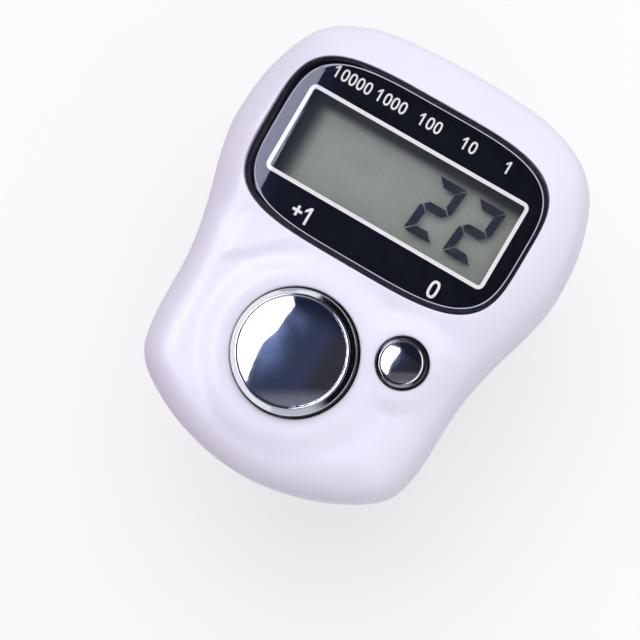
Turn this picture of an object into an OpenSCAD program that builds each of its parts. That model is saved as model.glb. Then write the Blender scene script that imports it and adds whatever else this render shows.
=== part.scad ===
// Digital finger tally counter with a display, a count button, a reset button and a finger strap.
// It stands on its strap with the display facing up (+Z).
// X runs along the line of digits and Y runs from the buttons to the display.
// The origin is on the standing surface, under the middle of the case.

/* [Case] */
// Width of the case across its head
body_width = 30; // [29.6:0.2:32]
// Length of the case from its top edge to its bottom edge
body_length = 37.6; // [37.2:0.2:40]
// Wall thickness of the front case
case_wall = 1.3; // [1.1:0.05:1.5]
// Thickness of the flat rear wall
rear_wall = 1.3; // [1.2:0.05:1.8]
// Height of the rear case, up to the parting line
rear_depth = 4.2; // [3.6:0.1:4.6]
// Width of the rounding along the front edge
edge_round = 3.6; // [2.8:0.1:4]
// Height of the rounding along the front edge
edge_height = 3.2; // [2.6:0.1:3.6]
// Rounding of the rear edge
rear_round = 2.2; // [1.4:0.1:2.6]
// Thickness of the lip that centres the two case halves
lip_thickness = 0.7; // [0.5:0.05:0.9]
// Height of that lip
lip_height = 0.7; // [0.4:0.05:0.8]
// How far the middle of the face is crowned
crown_rise = 0.3; // [0:0.05:0.5]

/* [Face relief] */
// Rise of the raised shelf round the lens
shelf_rise = 0.5; // [0.3:0.05:0.7]
// Width of the shelf outside the lens
shelf_margin = 1.1; // [0.8:0.1:1.6]
// Width over which the shelf falls to the face
shelf_fall = 1.1; // [0.8:0.1:1.6]
// Half width of the neck that carries the shelf down towards the buttons
neck_half_width = 8.8; // [8:0.1:10]
// Rise of the collar round the count button
collar_rise = 0.8; // [0.5:0.05:1]
// Width of the collar's flat top outside the button hole
collar_margin = 0.9; // [0.6:0.1:1.2]
// Width over which the collar falls to the face
collar_fall = 1.9; // [1.4:0.1:2.4]
// Rise of the small collar round the reset button
small_collar_rise = 0.55; // [0.3:0.05:0.7]

/* [Display] */
// Place of the display's centre above the middle of the case, as a share of half the case's length
display_share = 0.404; // [0.394:0.002:0.424]
// Distance from the lens to the widest part of the case's side
lens_side_margin = 3.2; // [2.8:0.05:3.3]
// Height of the lens as a share of the case's length
lens_height_share = 0.391; // [0.383:0.002:0.399]
// Thickness of the lens at its rim
lens_thickness = 1; // [0.8:0.05:1.2]
// Rise of the lens from its rim to its middle
lens_crown = 0.3; // [0.16:0.02:0.34]
// Width of the bevel round the lens
lens_bevel = 0.3; // [0.2:0.05:0.4]
// Width of the printed mask at either side of its clear window
window_side_margin = 2; // [1.95:0.05:2.45]
// Height of the clear window as a share of the lens's height
window_height_share = 0.49; // [0.46:0.01:0.52]
// Width of the white line printed round the window
line_width = 0.32; // [0.25:0.01:0.5]
// Thickness of the printed film, and of the tape that holds it
film_thickness = 0.1; // [0.08:0.01:0.15]
// Height of the display's digits as a share of the window's height
digit_height_share = 0.708; // [0.638:0.01:0.748]
// Distance from digit to digit as a share of the window's width
digit_pitch_share = 0.184; // [0.174:0.002:0.19]
// Width of one digit as a share of that distance
digit_width_share = 0.727; // [0.647:0.01:0.737]
// Width of a digit's segments as a share of its width
segment_share = 0.27; // [0.21:0.01:0.33]
// Height of the printed numbers as a share of the mask's band above or below the window
mark_height_share = 0.4; // [0.32:0.01:0.46]
// Thickness of each display glass
glass_thickness = 0.55; // [0.4:0.05:0.7]
// Thickness of the polariser and of the reflector
foil_thickness = 0.15; // [0.1:0.01:0.2]

/* [Buttons] */
// Radius of the count button where it leaves the case, as a share of half the case's width
count_radius_share = 0.343; // [0.333:0.001:0.346]
// Place of the count button below the middle of the case, as a share of half the case's length
count_drop_share = 0.42; // [0.414:0.002:0.436]
// Height of the count button's rim above its collar
count_rim_height = 1.15; // [0.9:0.05:1.4]
// Rise of the count button's dome above its rim
count_dome_rise = 0.55; // [0.4:0.05:0.9]
// Radius of the reset button where it leaves the case, as a share of half the case's width
reset_radius_share = 0.137; // [0.127:0.001:0.14]
// Place of the reset button to the right of the middle, as a share of half the case's width
reset_side_share = 0.52; // [0.51:0.002:0.526]
// Place of the reset button below the middle of the case, as a share of half the case's length
reset_drop_share = 0.229; // [0.219:0.002:0.235]
// Height of the reset button's rim above its collar
reset_rim_height = 0.7; // [0.5:0.05:0.9]
// Rise of the reset button's dome above its rim
reset_dome_rise = 0.24; // [0.16:0.02:0.4]
// Gap between a button and the wall of its hole
button_gap = 0.1; // [0.05:0.01:0.1]
// How far either button can be pressed
press_travel = 0.8; // [0.6:0.05:0.9]
// How far a button's flange reaches past its hole
flange_margin = 0.4; // [0.3:0.05:0.5]

/* [Keypad] */
// Thickness of the rubber keypad sheet
sheet_thickness = 0.4; // [0.3:0.05:0.5]
// Thickness of the thin rubber webs that return the buttons
web_thickness = 0.3; // [0.2:0.05:0.4]
// Thickness of the conductive pills
pill_thickness = 0.2; // [0.1:0.05:0.3]

/* [Board] */
// Thickness of the circuit board
board_thickness = 0.8; // [0.6:0.05:1]
// Distance from the case's outer edge to the board's edge
board_inset = 2.5; // [2.4:0.1:2.8]
// Thickness of the printed contact pads
pad_thickness = 0.05; // [0.03:0.01:0.08]
// Height of the floor of the display's frame above the board
frame_floor = 0.4; // [0.3:0.05:0.6]

/* [Power] */
// Diameter of the button cell
cell_diameter = 11.6; // [11.4:0.1:11.8]
// Height of the button cell
cell_height = 3.05; // [2.6:0.05:3.2]
// Height left for the spring contact between cell and board
contact_height = 0.9; // [0.8:0.05:1.2]
// Thickness of the contact metal
contact_thickness = 0.2; // [0.15:0.01:0.25]
// Thickness of the battery door's outer plate
door_plate = 0.7; // [0.6:0.05:0.8]

/* [Strap] */
// Width of the strap
strap_width = 9; // [7:0.5:10]
// Thickness of the strap
strap_thickness = 1.2; // [1:0.05:1.3]
// Width of the space for the finger
finger_width = 17.6; // [17.4:0.2:18.6]
// Height of the space for the finger
finger_height = 17.4; // [16.6:0.2:19]
// Inner radius of the strap's lower bends
bend_radius = 6.3; // [5.6:0.1:6.8]
// Distance from one adjusting hole to the next
hole_pitch = 3; // [2.9:0.1:3.2]
// Radius of the studs that close the strap
stud_radius = 0.75; // [0.6:0.05:0.85]

/* [Screws] */
// Radius of a case screw's head
case_head_radius = 1.25; // [1.1:0.05:1.3]
// Radius of a case screw's thread
case_thread_radius = 0.65; // [0.5:0.05:0.7]
// Height of a case screw's head
case_head_height = 0.7; // [0.5:0.05:0.75]
// Radius of the small screws' heads, on the board and on the battery door
small_head_radius = 0.95; // [0.8:0.05:1]
// Radius of the small screws' threads
small_thread_radius = 0.45; // [0.35:0.05:0.5]
// Height of the small screws' heads
small_head_height = 0.4; // [0.3:0.05:0.45]

/* [Hidden] */
$fn = 64;

// Small gaps between pieces, and the overrun of every cut
touch_gap = 0.05;
fit_gap = 0.1;
overrun = 0.5;

// Outline of the case as shares of its half width and half length, from the top round to the bottom
outline_shares = [
    [0, 1], [0.4, 0.984], [0.647, 0.936], [0.847, 0.824], [0.967, 0.596], [1, 0.346], [0.967, 0.16],
    [0.887, -0.069], [0.837, -0.293], [0.823, -0.6], [0.755, -0.775], [0.54, -0.897], [0.27, -0.973],
    [0, -1]];
outline_steps = 4;
edge_rings = 7;
rim_rounds = 8;
face_rings = 22;
face_ring_power = 1.4;
rear_rings = 4;
lens_exponent = 3.9;
lens_crown_power = 7;
lens_crown_rings = 6;
dish_exponent = 2.3;
oval_points = 64;

// Plan of the case and places of the buttons
half_width = body_width / 2;
half_length = body_length / 2;
count_radius = half_width * count_radius_share;
count_drop = half_length * count_drop_share;
reset_radius = half_width * reset_radius_share;
reset_x = half_width * reset_side_share;
reset_drop = half_length * reset_drop_share;
count_place = [0, -count_drop];
reset_place = [reset_x, -reset_drop];

// Sizes of the display, each from the case or from the piece round it
display_y = half_length * display_share;
lens_width = body_width - 2 * lens_side_margin;
lens_height = body_length * lens_height_share;
window_width = lens_width - 2 * window_side_margin;
window_height = lens_height * window_height_share;
digit_height = window_height * digit_height_share;
digit_pitch = window_width * digit_pitch_share;
digit_width = digit_pitch * digit_width_share;
segment_width = digit_width * segment_share;
mark_height = (lens_height - window_height) / 2 * mark_height_share;

// Levels above the standing surface, from the strap up to the lens
rear_z = strap_thickness + finger_height;
floor_z = rear_z + rear_wall;
cell_z = floor_z + touch_gap;
cell_top = cell_z + cell_height;
board_z = cell_top + contact_height;
board_top = board_z + board_thickness;
reflector_z = board_top + frame_floor;
rear_glass_z = reflector_z + foil_thickness;
segment_z = rear_glass_z + glass_thickness;
segment_thickness = touch_gap;
front_glass_z = segment_z + segment_thickness;
polariser_z = front_glass_z + glass_thickness;
display_top = polariser_z + foil_thickness;
ledge_thickness = 0.6;
ledge_z = display_top + 1.5 * fit_gap;
ledge_top = ledge_z + ledge_thickness;
mask_z = ledge_top + film_thickness;
lens_z = mask_z + film_thickness;
lens_rim_z = lens_z + lens_thickness;
lens_sink = 0.36;
face_z = lens_rim_z + lens_sink - shelf_rise - crown_rise * crown_share(0, display_y);
ceiling_z = face_z - case_wall;
part_z = rear_z + rear_depth;
edge_z = face_z - edge_height;
post_z = board_z - 4 * fit_gap;

// Case walls
lip_gap = fit_gap;
rear_side_wall = case_wall + lip_gap + lip_thickness;
side_draft = 0.15;
cavity_step = 1;

// Buttons
count_hole = count_radius + button_gap;
reset_hole = reset_radius + button_gap;
collar_z = face_z + collar_rise + crown_rise * crown_share(count_place.x, count_place.y);
small_collar_z = face_z + small_collar_rise + crown_rise * crown_share(reset_place.x, reset_place.y);
pill_z = board_top + pad_thickness + press_travel + touch_gap;
plunger_z = pill_z + pill_thickness;
sheet_z = board_top + sheet_thickness;
flange_z = sheet_z + press_travel + fit_gap;
flange_thickness = ceiling_z - touch_gap - flange_z;
stem_z = flange_z + flange_thickness / 2;
button_wall = 0.9;
button_draft_share = 0.35;
stem_share = 0.45;
pill_share = 0.8;
count_groove = 0.16;
reset_groove = 0.08;
small_collar_fall_share = 0.6;
small_collar_fall = collar_fall * small_collar_fall_share;
dish_margin = 1.7;
dish_shift = 0.9;
dish_half_width = neck_half_width + dish_margin;
dish_half_height = count_hole + collar_fall;
dish_drop = count_drop + dish_shift;

// Display glass and its frame
glass_margin = 0.8;
glass_width = window_width + 2 * glass_margin;
rear_glass_height = window_height + 1.5 * glass_margin;
contact_ledge = 1.6;
glass_top_y = display_y + rear_glass_height / 2;
glass_low_y = display_y - rear_glass_height / 2;
frame_side = 0.5;
frame_edge = 0.4;
zebra_width = 1.2;
digit_slant = 5;
segment_gap = 0.1;
segment_tip_share = 0.2;
segment_foot_share = 0.3;
window_corner = 0.25;
digit_right_share = 0.403;
digit_right_margin = digit_pitch * digit_right_share;
digit_places = 5;
mark_exponent = 2.5;
mark_points = 24;
mark_stroke_share = 0.15;
mark_width_share = 0.58;
mark_step_share = 0.68;
small_mark_share = 0.29;

// Screws and what takes them
case_screw_shares = [[0.56, 0.77], [0.54, -0.69]];
board_screw_shares = [0.69, -0.04];
board_screw_edge = 1.05;
case_head_sink = 0.6;
post_radius = 2.05;
boss_radius = 1.5;
small_boss_radius = 1.15;
recess_share = 0.35;
case_screw_spots = screw_places(case_screw_shares);
board_screw_spots = concat(screw_places([board_screw_shares]),
    [[0, half_length - board_inset - board_screw_edge]]);

// Battery door
cell_radius = cell_diameter / 2;
well_radius = cell_radius + 1.5 * fit_gap;
well_wall = 0.9;
door_side_margin = 1;
door_left_margin = 1.3;
door_right_margin = 0.9;
door_screw_gap = 0.6;
door_half_height = cell_radius + door_side_margin;
door_left = well_radius + door_left_margin;
door_screw_x = well_radius + well_wall + small_boss_radius + door_screw_gap;
door_right = door_screw_x + small_head_radius + door_right_margin;
door_corner = 1.6;
clip_slot = 3.6;

// Button cell
cap_margin = 1.3;
cap_radius = cell_radius - cap_margin;
cap_seat = 0.5;
can_wall = 0.3;

// Keypad
count_web_radius = count_radius - button_wall - fit_gap;
reset_web_radius = reset_radius;
count_plunger_radius = count_radius * stem_share;
reset_plunger_radius = reset_radius * stem_share;
sheet_margin = 0.9;
small_sheet_margin = 0.55;
pad_margin = 0.25;

// Parts on the underside of the board, their places as shares of the case's half width and half length
glob_radius = 2.2;
glob_height = 1;
glob_share = -0.62;
can_radius = 0.75;
can_length = 5;
can_place_shares = [-0.62, 0.32];
resistor_length = 1.6;
resistor_shares = [0.3, -0.55];
capacitor_length = 2;
capacitor_shares = [0.3, 0.62];

// Strap
strap_half_gap = finger_width / 2;
band_gap = fit_gap;
outer_shift = strap_thickness + band_gap;
slot_gap = fit_gap;
anchor_reach = 0.7;
anchor_height = 1.3;
band_tail = 2.2;
stud_head_margin = 0.45;
stud_head_radius = stud_radius + stud_head_margin;
stud_head_height = 0.55;
stud_count = 2;
bend_hole_count = 3;
first_hole_share = 0.4;
tail_hole_share = 0.85;
hole_turn = 360 * hole_pitch / (2 * PI * (bend_radius + strap_thickness / 2));
top_hole_z = rear_z - band_tail - hole_pitch * tail_hole_share;
stud_band_z = top_hole_z - stud_count * hole_pitch;

// Share of the crown's rise at a place on the face
function crown_share(x, y) = (1 - pow(x / half_width, 2)) * (1 - pow(y / half_length, 2));

// Eased step from 0 to 1
function ease(t) = let (c = min(1, max(0, t))) c * c * (3 - 2 * c);

// Closed smooth curve through the outline's points, run anticlockwise
function outline_knots() = let (last = len(outline_shares) - 1) concat(
    [for (i = [last:-1:0]) [outline_shares[i].x * half_width, outline_shares[i].y * half_length]],
    [for (i = [1:last - 1]) [-outline_shares[i].x * half_width, outline_shares[i].y * half_length]]);

function curve_point(a, b, c, d, t) = (2 * b + (c - a) * t + (2 * a - 5 * b + 4 * c - d) * t * t
    + (3 * b - a - 3 * c + d) * t * t * t) / 2;

function outline_points(steps) = let (k = outline_knots(), n = len(k))
    [for (i = [0:n - 1], s = [0:steps - 1])
        curve_point(k[(i + n - 1) % n], k[i], k[(i + 1) % n], k[(i + 2) % n], s / steps)];

// The outline drawn in by a distance along its own normals
function inset_points(points, inset) = let (n = len(points))
    [for (i = [0:n - 1]) let (run = points[(i + 1) % n] - points[(i + n - 1) % n], size = norm(run))
        [points[i].x - run.y / size * inset, points[i].y + run.x / size * inset]];

// A closed run of points evened out by drawing each towards its neighbours
function evened(points, rounds) = rounds == 0 ? points : let (n = len(points))
    evened([for (i = [0:n - 1]) (points[(i + n - 1) % n] + 2 * points[i] + points[(i + 1) % n]) / 4],
           rounds - 1);

function raised(points, z) = [for (p = points) [p.x, p.y, z]];

// Oval with flattened sides
function oval(half_x, half_y, power, count = oval_points) = [for (i = [0:count - 1])
    let (c = cos(360 * i / count), s = sin(360 * i / count))
        [half_x * sign(c) * pow(abs(c), 2 / power), half_y * sign(s) * pow(abs(s), 2 / power)]];

function oval_size(x, y, half_x, half_y, power) =
    pow(pow(abs(x) / half_x, power) + pow(abs(y) / half_y, power), 1 / power);

// Relief of the face: the shelf round the lens with its neck, and the two button collars
function shelf_share(x, y) = let (
    lens_half = lens_height / 2,
    outside = (oval_size(x, y - display_y, lens_width / 2, lens_half, lens_exponent) - 1) * lens_half,
    round_lens = ease((shelf_margin + shelf_fall - outside) / shelf_fall),
    side = ease((neck_half_width + shelf_fall - abs(x)) / shelf_fall),
    dish_size = oval_size(x, y + dish_drop, dish_half_width, dish_half_height, dish_exponent),
    dish = ease((dish_size - 1) * dish_half_height / shelf_fall),
    below = dish * ease((y + count_drop) / shelf_fall) * ease((display_y - y) / shelf_fall))
    max(round_lens, side * below);

function collar_share(x, y, place, flat_radius, fall) =
    ease((flat_radius + fall - norm([x - place.x, y - place.y])) / fall);

function mix(a, b, share) = a + (b - a) * share;

function relief(x, y) = crown_rise * crown_share(x, y) + mix(
    mix(shelf_rise * shelf_share(x, y), small_collar_rise,
        collar_share(x, y, reset_place, reset_hole + collar_margin / 2, small_collar_fall)),
    collar_rise, collar_share(x, y, count_place, count_hole + collar_margin, collar_fall));

function face_height(x, y) = face_z + relief(x, y);

// Point part of the way from the rim of the face to the count button
function face_point(rim, part) = let (away = rim - count_place)
    rim + (count_place + away / norm(away) * count_radius - rim) * part;

// Solid skinned over rings of points, closed by its first ring and by a point over the last
module ring_solid(rings, tip) {
    n = len(rings[0]);
    m = len(rings);
    points = concat([for (r = rings) each r], [tip]);
    sides = [for (j = [0:m - 2], i = [0:n - 1]) let (a = j * n + i, b = j * n + (i + 1) % n)
        each [[a, a + n, b + n], [a, b + n, b]]];
    last = (m - 1) * n;
    cap = [for (i = [0:n - 1]) [last + i, m * n, last + (i + 1) % n]];
    polyhedron(points, concat([[for (i = [0:n - 1]) i]], sides, cap));
}

module outline_prism(inset, z, height) {
    translate([0, 0, z]) linear_extrude(height) polygon(inset_points(outline_points(outline_steps), inset));
}

// Plate with the lens's outline, larger than the lens by grow on every side
module lens_prism(grow, z, height) {
    translate([0, display_y, z]) linear_extrude(height)
        polygon(oval(lens_width / 2 + grow, lens_height / 2 + grow, lens_exponent));
}

module box(x0, x1, y0, y1, z0, z1) {
    translate([x0, y0, z0]) cube([x1 - x0, y1 - y0, z1 - z0]);
}

module post(place, radius, z0, z1) {
    translate([place.x, place.y, z0]) cylinder(r = radius, h = z1 - z0);
}

module rounded_rect(width, height, corner) {
    square([width - 2 * corner, height], center = true);
    square([width, height - 2 * corner], center = true);
    for (sx = [-1, 1], sy = [-1, 1])
        translate([sx * (width / 2 - corner), sy * (height / 2 - corner)]) circle(r = corner);
}

// The window's outline, larger than the window by grow on every side
module window_shape(grow) {
    rounded_rect(window_width + 2 * grow, window_height + 2 * grow, window_corner + grow);
}

function screw_places(shares) = [for (p = shares, side = [1, -1])
    [side * p.x * half_width, p.y * half_length]];

// Cross-head screw driven upwards from its head at z
module screw(place, z, head_radius, head_height, thread_radius, length) {
    slot = head_radius * recess_share;
    translate([place.x, place.y, z]) difference() {
        union() {
            cylinder(r = head_radius, h = head_height);
            cylinder(r = thread_radius, h = head_height + length);
        }
        for (turn = [0, 90]) rotate(turn)
            translate([-head_radius + slot / 2, -slot / 2, -overrun])
                cube([2 * head_radius - slot, slot, overrun + head_height / 2]);
    }
}

module front_case() color("#e9e4f5") {
    edge = outline_points(outline_steps);
    side = inset_points(edge, side_draft);
    rim = evened(inset_points(edge, edge_round), rim_rounds);
    rings = concat(
        [raised(edge, part_z)],
        [for (i = [0:edge_rings]) let (turn = 90 * i / edge_rings, part = 1 - cos(turn))
            [for (j = [0:len(edge) - 1]) let (p = side[j] + (rim[j] - side[j]) * part)
                [p.x, p.y, edge_z + edge_height * sin(turn) + relief(p.x, p.y) * ease(part)]]],
        [for (i = [1:face_rings]) let (part = 1 - pow(1 - i / face_rings, face_ring_power))
            [for (p = rim) let (q = face_point(p, part)) [q.x, q.y, face_height(q.x, q.y)]]]);
    difference() {
        union() {
            difference() {
                ring_solid(rings, [count_place.x, count_place.y, face_height(count_place.x, count_place.y)]);
                outline_prism(case_wall, part_z - overrun, overrun + edge_z - part_z + case_wall / 2);
                outline_prism(case_wall + cavity_step, part_z - overrun, overrun + ceiling_z - part_z);
            }
            lens_prism(case_wall / 2, ledge_z, ceiling_z - ledge_z + case_wall / 2);
            for (p = case_screw_spots) post(p, boss_radius, post_z, ceiling_z + case_wall / 2);
            for (p = board_screw_spots)
                post(p, small_boss_radius, board_top, ceiling_z + case_wall / 2);
        }
        lens_prism(fit_gap, ledge_top, lens_sink + lens_rim_z - ledge_top + overrun);
        translate([0, display_y, ledge_z - overrun]) linear_extrude(ledge_thickness + 2 * overrun)
            window_shape(line_width);
        post(count_place, count_hole, ceiling_z - overrun, collar_z + overrun);
        post(reset_place, reset_hole, ceiling_z - overrun, small_collar_z + overrun);
        for (p = case_screw_spots)
            post(p, case_thread_radius + touch_gap, post_z - overrun, ledge_z - case_wall / 4);
        for (p = board_screw_spots)
            post(p, small_thread_radius + touch_gap, board_top - overrun, ledge_z - case_wall / 4);
    }
}

module door_outline(grow) {
    translate([(door_right - door_left) / 2, 0])
        rounded_rect(door_left + door_right + 2 * grow, 2 * (door_half_height + grow), door_corner + grow);
}

module rear_case() color("#e4dff0") {
    edge = outline_points(outline_steps);
    rings = concat(
        [for (i = [0:rear_rings]) let (turn = 90 * i / rear_rings)
            raised(inset_points(edge, rear_round * (1 - sin(turn))), rear_z + rear_round * (1 - cos(turn)))],
        [raised(edge, part_z)]);
    slot_y = strap_half_gap + strap_thickness / 2;
    difference() {
        union() {
            difference() {
                union() {
                    ring_solid(rings, [0, 0, part_z]);
                    outline_prism(case_wall + lip_gap, part_z - overrun, lip_height + overrun);
                }
                outline_prism(rear_side_wall, floor_z, rear_depth + lip_height + overrun);
            }
            for (p = case_screw_spots) post(p, post_radius, floor_z - touch_gap, post_z - touch_gap);
            post([0, 0], well_radius + well_wall, floor_z - touch_gap, board_z - 2 * fit_gap);
            post([door_screw_x, 0], small_boss_radius, floor_z - touch_gap, board_z - contact_height);
        }
        post([0, 0], well_radius, rear_z - overrun, board_z);
        translate([0, 0, rear_z - overrun]) linear_extrude(door_plate + touch_gap + overrun)
            door_outline(fit_gap);
        box(-clip_slot / 2, clip_slot / 2, 0, well_radius + 2 * well_wall,
            floor_z + cell_height / 3, board_z);
        post([door_screw_x, 0], small_thread_radius + touch_gap,
             rear_z, board_z - contact_height - case_wall / 4);
        for (p = case_screw_spots) {
            post(p, case_thread_radius + 2 * touch_gap, rear_z - overrun, post_z);
            post(p, case_head_radius + fit_gap, rear_z - overrun, rear_z + case_head_sink + case_head_height);
        }
        for (side = [-1, 1])
            translate([0, side * slot_y, rear_z - overrun]) linear_extrude(rear_wall + 2 * overrun)
                square([strap_width + 2 * slot_gap, strap_thickness + 2 * slot_gap], center = true);
    }
}

module case_screws() color("#b9bcc2") {
    for (p = case_screw_spots)
        screw(p, rear_z + case_head_sink, case_head_radius, case_head_height, case_thread_radius,
              ledge_z - case_wall / 2 - rear_z - case_head_sink - case_head_height);
}

module battery_door() color("#e4dff0") {
    difference() {
        union() {
            translate([0, 0, rear_z]) linear_extrude(door_plate) door_outline(0);
            post([0, 0], well_radius - fit_gap, rear_z + door_plate / 2, floor_z);
        }
        post([door_screw_x, 0], small_thread_radius + 2 * touch_gap, rear_z - overrun, floor_z);
        post([door_screw_x, 0], small_head_radius + touch_gap, rear_z - overrun,
             rear_z + touch_gap + small_head_height);
        for (i = [-1:1])
            box(-door_left + door_corner + i * door_corner / 3 - touch_gap * 2,
                -door_left + door_corner + i * door_corner / 3 + touch_gap * 2,
                -door_half_height / 3, door_half_height / 3, rear_z - overrun, rear_z + door_plate / 3);
    }
}

module door_screw() color("#b9bcc2") {
    screw([door_screw_x, 0], rear_z + touch_gap, small_head_radius, small_head_height, small_thread_radius,
          board_z - contact_height - case_wall / 2 - rear_z - touch_gap - small_head_height);
}

module display_lens() color([0.75, 0.78, 0.85, 0.35]) {
    rim = oval(lens_width / 2, lens_height / 2, lens_exponent);
    inner = oval(lens_width / 2 - lens_bevel, lens_height / 2 - lens_bevel, lens_exponent);
    bevel_z = lens_rim_z - lens_bevel;
    translate([0, display_y, 0]) ring_solid(concat(
        [raised(rim, lens_z), raised(rim, bevel_z)],
        [for (i = [0:lens_crown_rings - 1]) let (part = 1 - pow(i / lens_crown_rings, 2))
            raised([for (p = inner) p * part], lens_rim_z + lens_crown * (1 - pow(part, lens_crown_power)))]),
        [0, 0, lens_rim_z + lens_crown]);
}

module lens_mask() color("#111114") {
    difference() {
        lens_prism(-touch_gap, mask_z, film_thickness);
        translate([0, display_y, mask_z - overrun]) linear_extrude(film_thickness + 2 * overrun)
            window_shape(line_width);
        lens_number_shapes(mask_z - overrun, film_thickness + 2 * overrun);
    }
}

module window_line() color("white") {
    translate([0, display_y, mask_z]) linear_extrude(film_thickness) difference() {
        window_shape(line_width);
        window_shape(0);
    }
}

module figure_zero(height) {
    stroke = height * mark_stroke_share;
    half_x = height * mark_width_share / 2;
    half_y = height / 2;
    difference() {
        polygon(oval(half_x, half_y, mark_exponent, mark_points));
        polygon(oval(half_x - stroke, half_y - stroke, mark_exponent, mark_points));
    }
}

module figure_one(height) {
    stroke = height * mark_stroke_share;
    reach = height * mark_width_share / 2;
    half = stroke / 2;
    polygon([[half, -height / 2], [half, height / 2], [-half, height / 2], [-reach, height / 4],
             [-reach, height / 4 - stroke], [-half, height / 2 - 1.5 * stroke], [-half, -height / 2]]);
}

module figure_plus(height) {
    stroke = height * mark_stroke_share;
    arm = height * mark_width_share / 2;
    half = stroke / 2;
    polygon([[arm, -half], [arm, half], [half, half], [half, arm], [-half, arm], [-half, half],
             [-arm, half], [-arm, -half], [-half, -half], [-half, -arm], [half, -arm], [half, -half]]);
}

// Plain place values over the digits, a plus one over the count button and a nought over the reset button
module lens_number_shapes(z, height) {
    step = mark_height * mark_step_share;
    small_height = digit_pitch * small_mark_share;
    small_step = small_height * mark_step_share;
    top_y = display_y + window_height / 4 + line_width / 2 + lens_height / 4;
    low_y = 2 * display_y - top_y;
    translate([0, 0, z]) linear_extrude(height) {
        for (place = [0:digit_places - 1], i = [0:place])
            translate([digit_x(place) + digit_width / 2 + (i - place / 2) * small_step, top_y])
                if (i == 0) figure_one(small_height); else figure_zero(small_height);
        translate([-window_width / 4 - step, low_y]) figure_plus(mark_height);
        translate([-window_width / 4, low_y]) figure_one(mark_height);
        translate([reset_x - step, low_y]) figure_zero(mark_height);
    }
}

module lens_numbers() color("white") {
    lens_number_shapes(mask_z, film_thickness);
}

module lens_tape() color("#303034") {
    difference() {
        lens_prism(-touch_gap, ledge_top, film_thickness);
        translate([0, display_y, ledge_top - overrun]) linear_extrude(film_thickness + 2 * overrun)
            window_shape(2 * line_width);
    }
}

module lcd_polariser() color([0.62, 0.66, 0.6, 0.5]) {
    box(-glass_width / 2 + touch_gap, glass_width / 2 - touch_gap, glass_low_y + touch_gap,
        glass_top_y - touch_gap, polariser_z, display_top);
}

module lcd_front_glass() color([0.75, 0.82, 0.78, 0.35]) {
    box(-glass_width / 2, glass_width / 2, glass_low_y - contact_ledge, glass_top_y,
        front_glass_z, polariser_z);
}

function digit_x(place) = window_width / 2 - digit_right_margin - digit_width - place * digit_pitch;

function slanted(points) = [for (p = points) [p.x + p.y * tan(digit_slant), p.y]];

// One lying segment of a digit with mitred ends, its middle line at height y
function lying_segment(y, side) = let (g = segment_gap, w = digit_width, s = segment_width)
    side == 0
        ? let (tip = g + s * segment_tip_share, root = tip + s / 2)
            [[tip, y], [root, y + s / 2], [w - root, y + s / 2], [w - tip, y],
             [w - root, y - s / 2], [root, y - s / 2]]
        : [[g, y], [w - g, y], [w - s - g, y - side * s], [s + g, y - side * s]];

// One standing segment at x, on the left (side 1) or the right (side -1), mitred at the corner and
// pointed at the middle bar
function standing_segment(x, side, corner, middle) =
    let (g = segment_gap, s = segment_width, way = sign(middle - corner), foot = s * segment_foot_share)
    [[x, corner + way * g], [x, middle - way * (g + foot / 2)], [x + side * foot, middle - way * g],
     [x + side * s, middle - way * (g + s - foot)], [x + side * s, corner + way * (s + g)]];

module figure_two() {
    middle = digit_height / 2;
    polygon(slanted(lying_segment(digit_height, 1)));
    polygon(slanted(lying_segment(0, -1)));
    polygon(slanted(lying_segment(middle, 0)));
    polygon(slanted(standing_segment(digit_width, -1, digit_height, middle)));
    polygon(slanted(standing_segment(0, 1, 0, middle)));
}

module lcd_segments() color("#1b1e2a") {
    lean = digit_height / 2 * tan(digit_slant);
    for (place = [0, 1])
        translate([digit_x(place) - lean, display_y - digit_height / 2, segment_z])
            linear_extrude(segment_thickness) figure_two();
}

module lcd_rear_glass() color([0.75, 0.82, 0.78, 0.35]) {
    box(-glass_width / 2, glass_width / 2, glass_low_y, glass_top_y, rear_glass_z, segment_z);
}

module lcd_reflector() color("#8f958a") {
    box(-glass_width / 2 + touch_gap, glass_width / 2 - touch_gap, glass_low_y + touch_gap,
        glass_top_y - touch_gap, reflector_z, rear_glass_z);
}

module lcd_frame() color("#c9c9c6") {
    low_y = glass_low_y - contact_ledge;
    difference() {
        box(-glass_width / 2 - frame_side, glass_width / 2 + frame_side, low_y - frame_edge - fit_gap,
            glass_top_y + frame_edge + fit_gap, board_top, polariser_z);
        box(-glass_width / 2 - fit_gap, glass_width / 2 + fit_gap, low_y - fit_gap, glass_top_y + fit_gap,
            reflector_z, polariser_z + overrun);
        box(-glass_width / 2 + glass_margin, glass_width / 2 - glass_margin,
            low_y - fit_gap, glass_low_y - fit_gap, board_top - overrun, reflector_z + overrun);
    }
}

module zebra_connector() color("#d98fa0") {
    low_y = glass_low_y - contact_ledge;
    box(-glass_width / 2 + glass_margin + fit_gap, glass_width / 2 - glass_margin - fit_gap,
        low_y + fit_gap, low_y + fit_gap + zebra_width, board_top, front_glass_z);
}

module circuit_board() color("#2f6b3c") {
    difference() {
        outline_prism(board_inset, board_z, board_thickness);
        for (p = case_screw_spots)
            post(p, boss_radius + 2 * fit_gap, board_z - overrun, board_top + overrun);
        for (p = board_screw_spots)
            post(p, small_thread_radius + 2 * touch_gap, board_z - overrun, board_top + overrun);
    }
}

module board_screws() color("#c9b46a") {
    for (p = board_screw_spots)
        screw(p, board_z - small_head_height, small_head_radius, small_head_height, small_thread_radius,
              ledge_z - case_wall / 2 - board_z);
}

// Round contact in two halves
module contact_pad(place, radius) {
    translate([place.x, place.y, board_top]) difference() {
        cylinder(r = radius, h = pad_thickness);
        translate([-radius / 8, -radius - overrun, -overrun])
            cube([radius / 4, 2 * (radius + overrun), pad_thickness + 2 * overrun]);
    }
}

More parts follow.
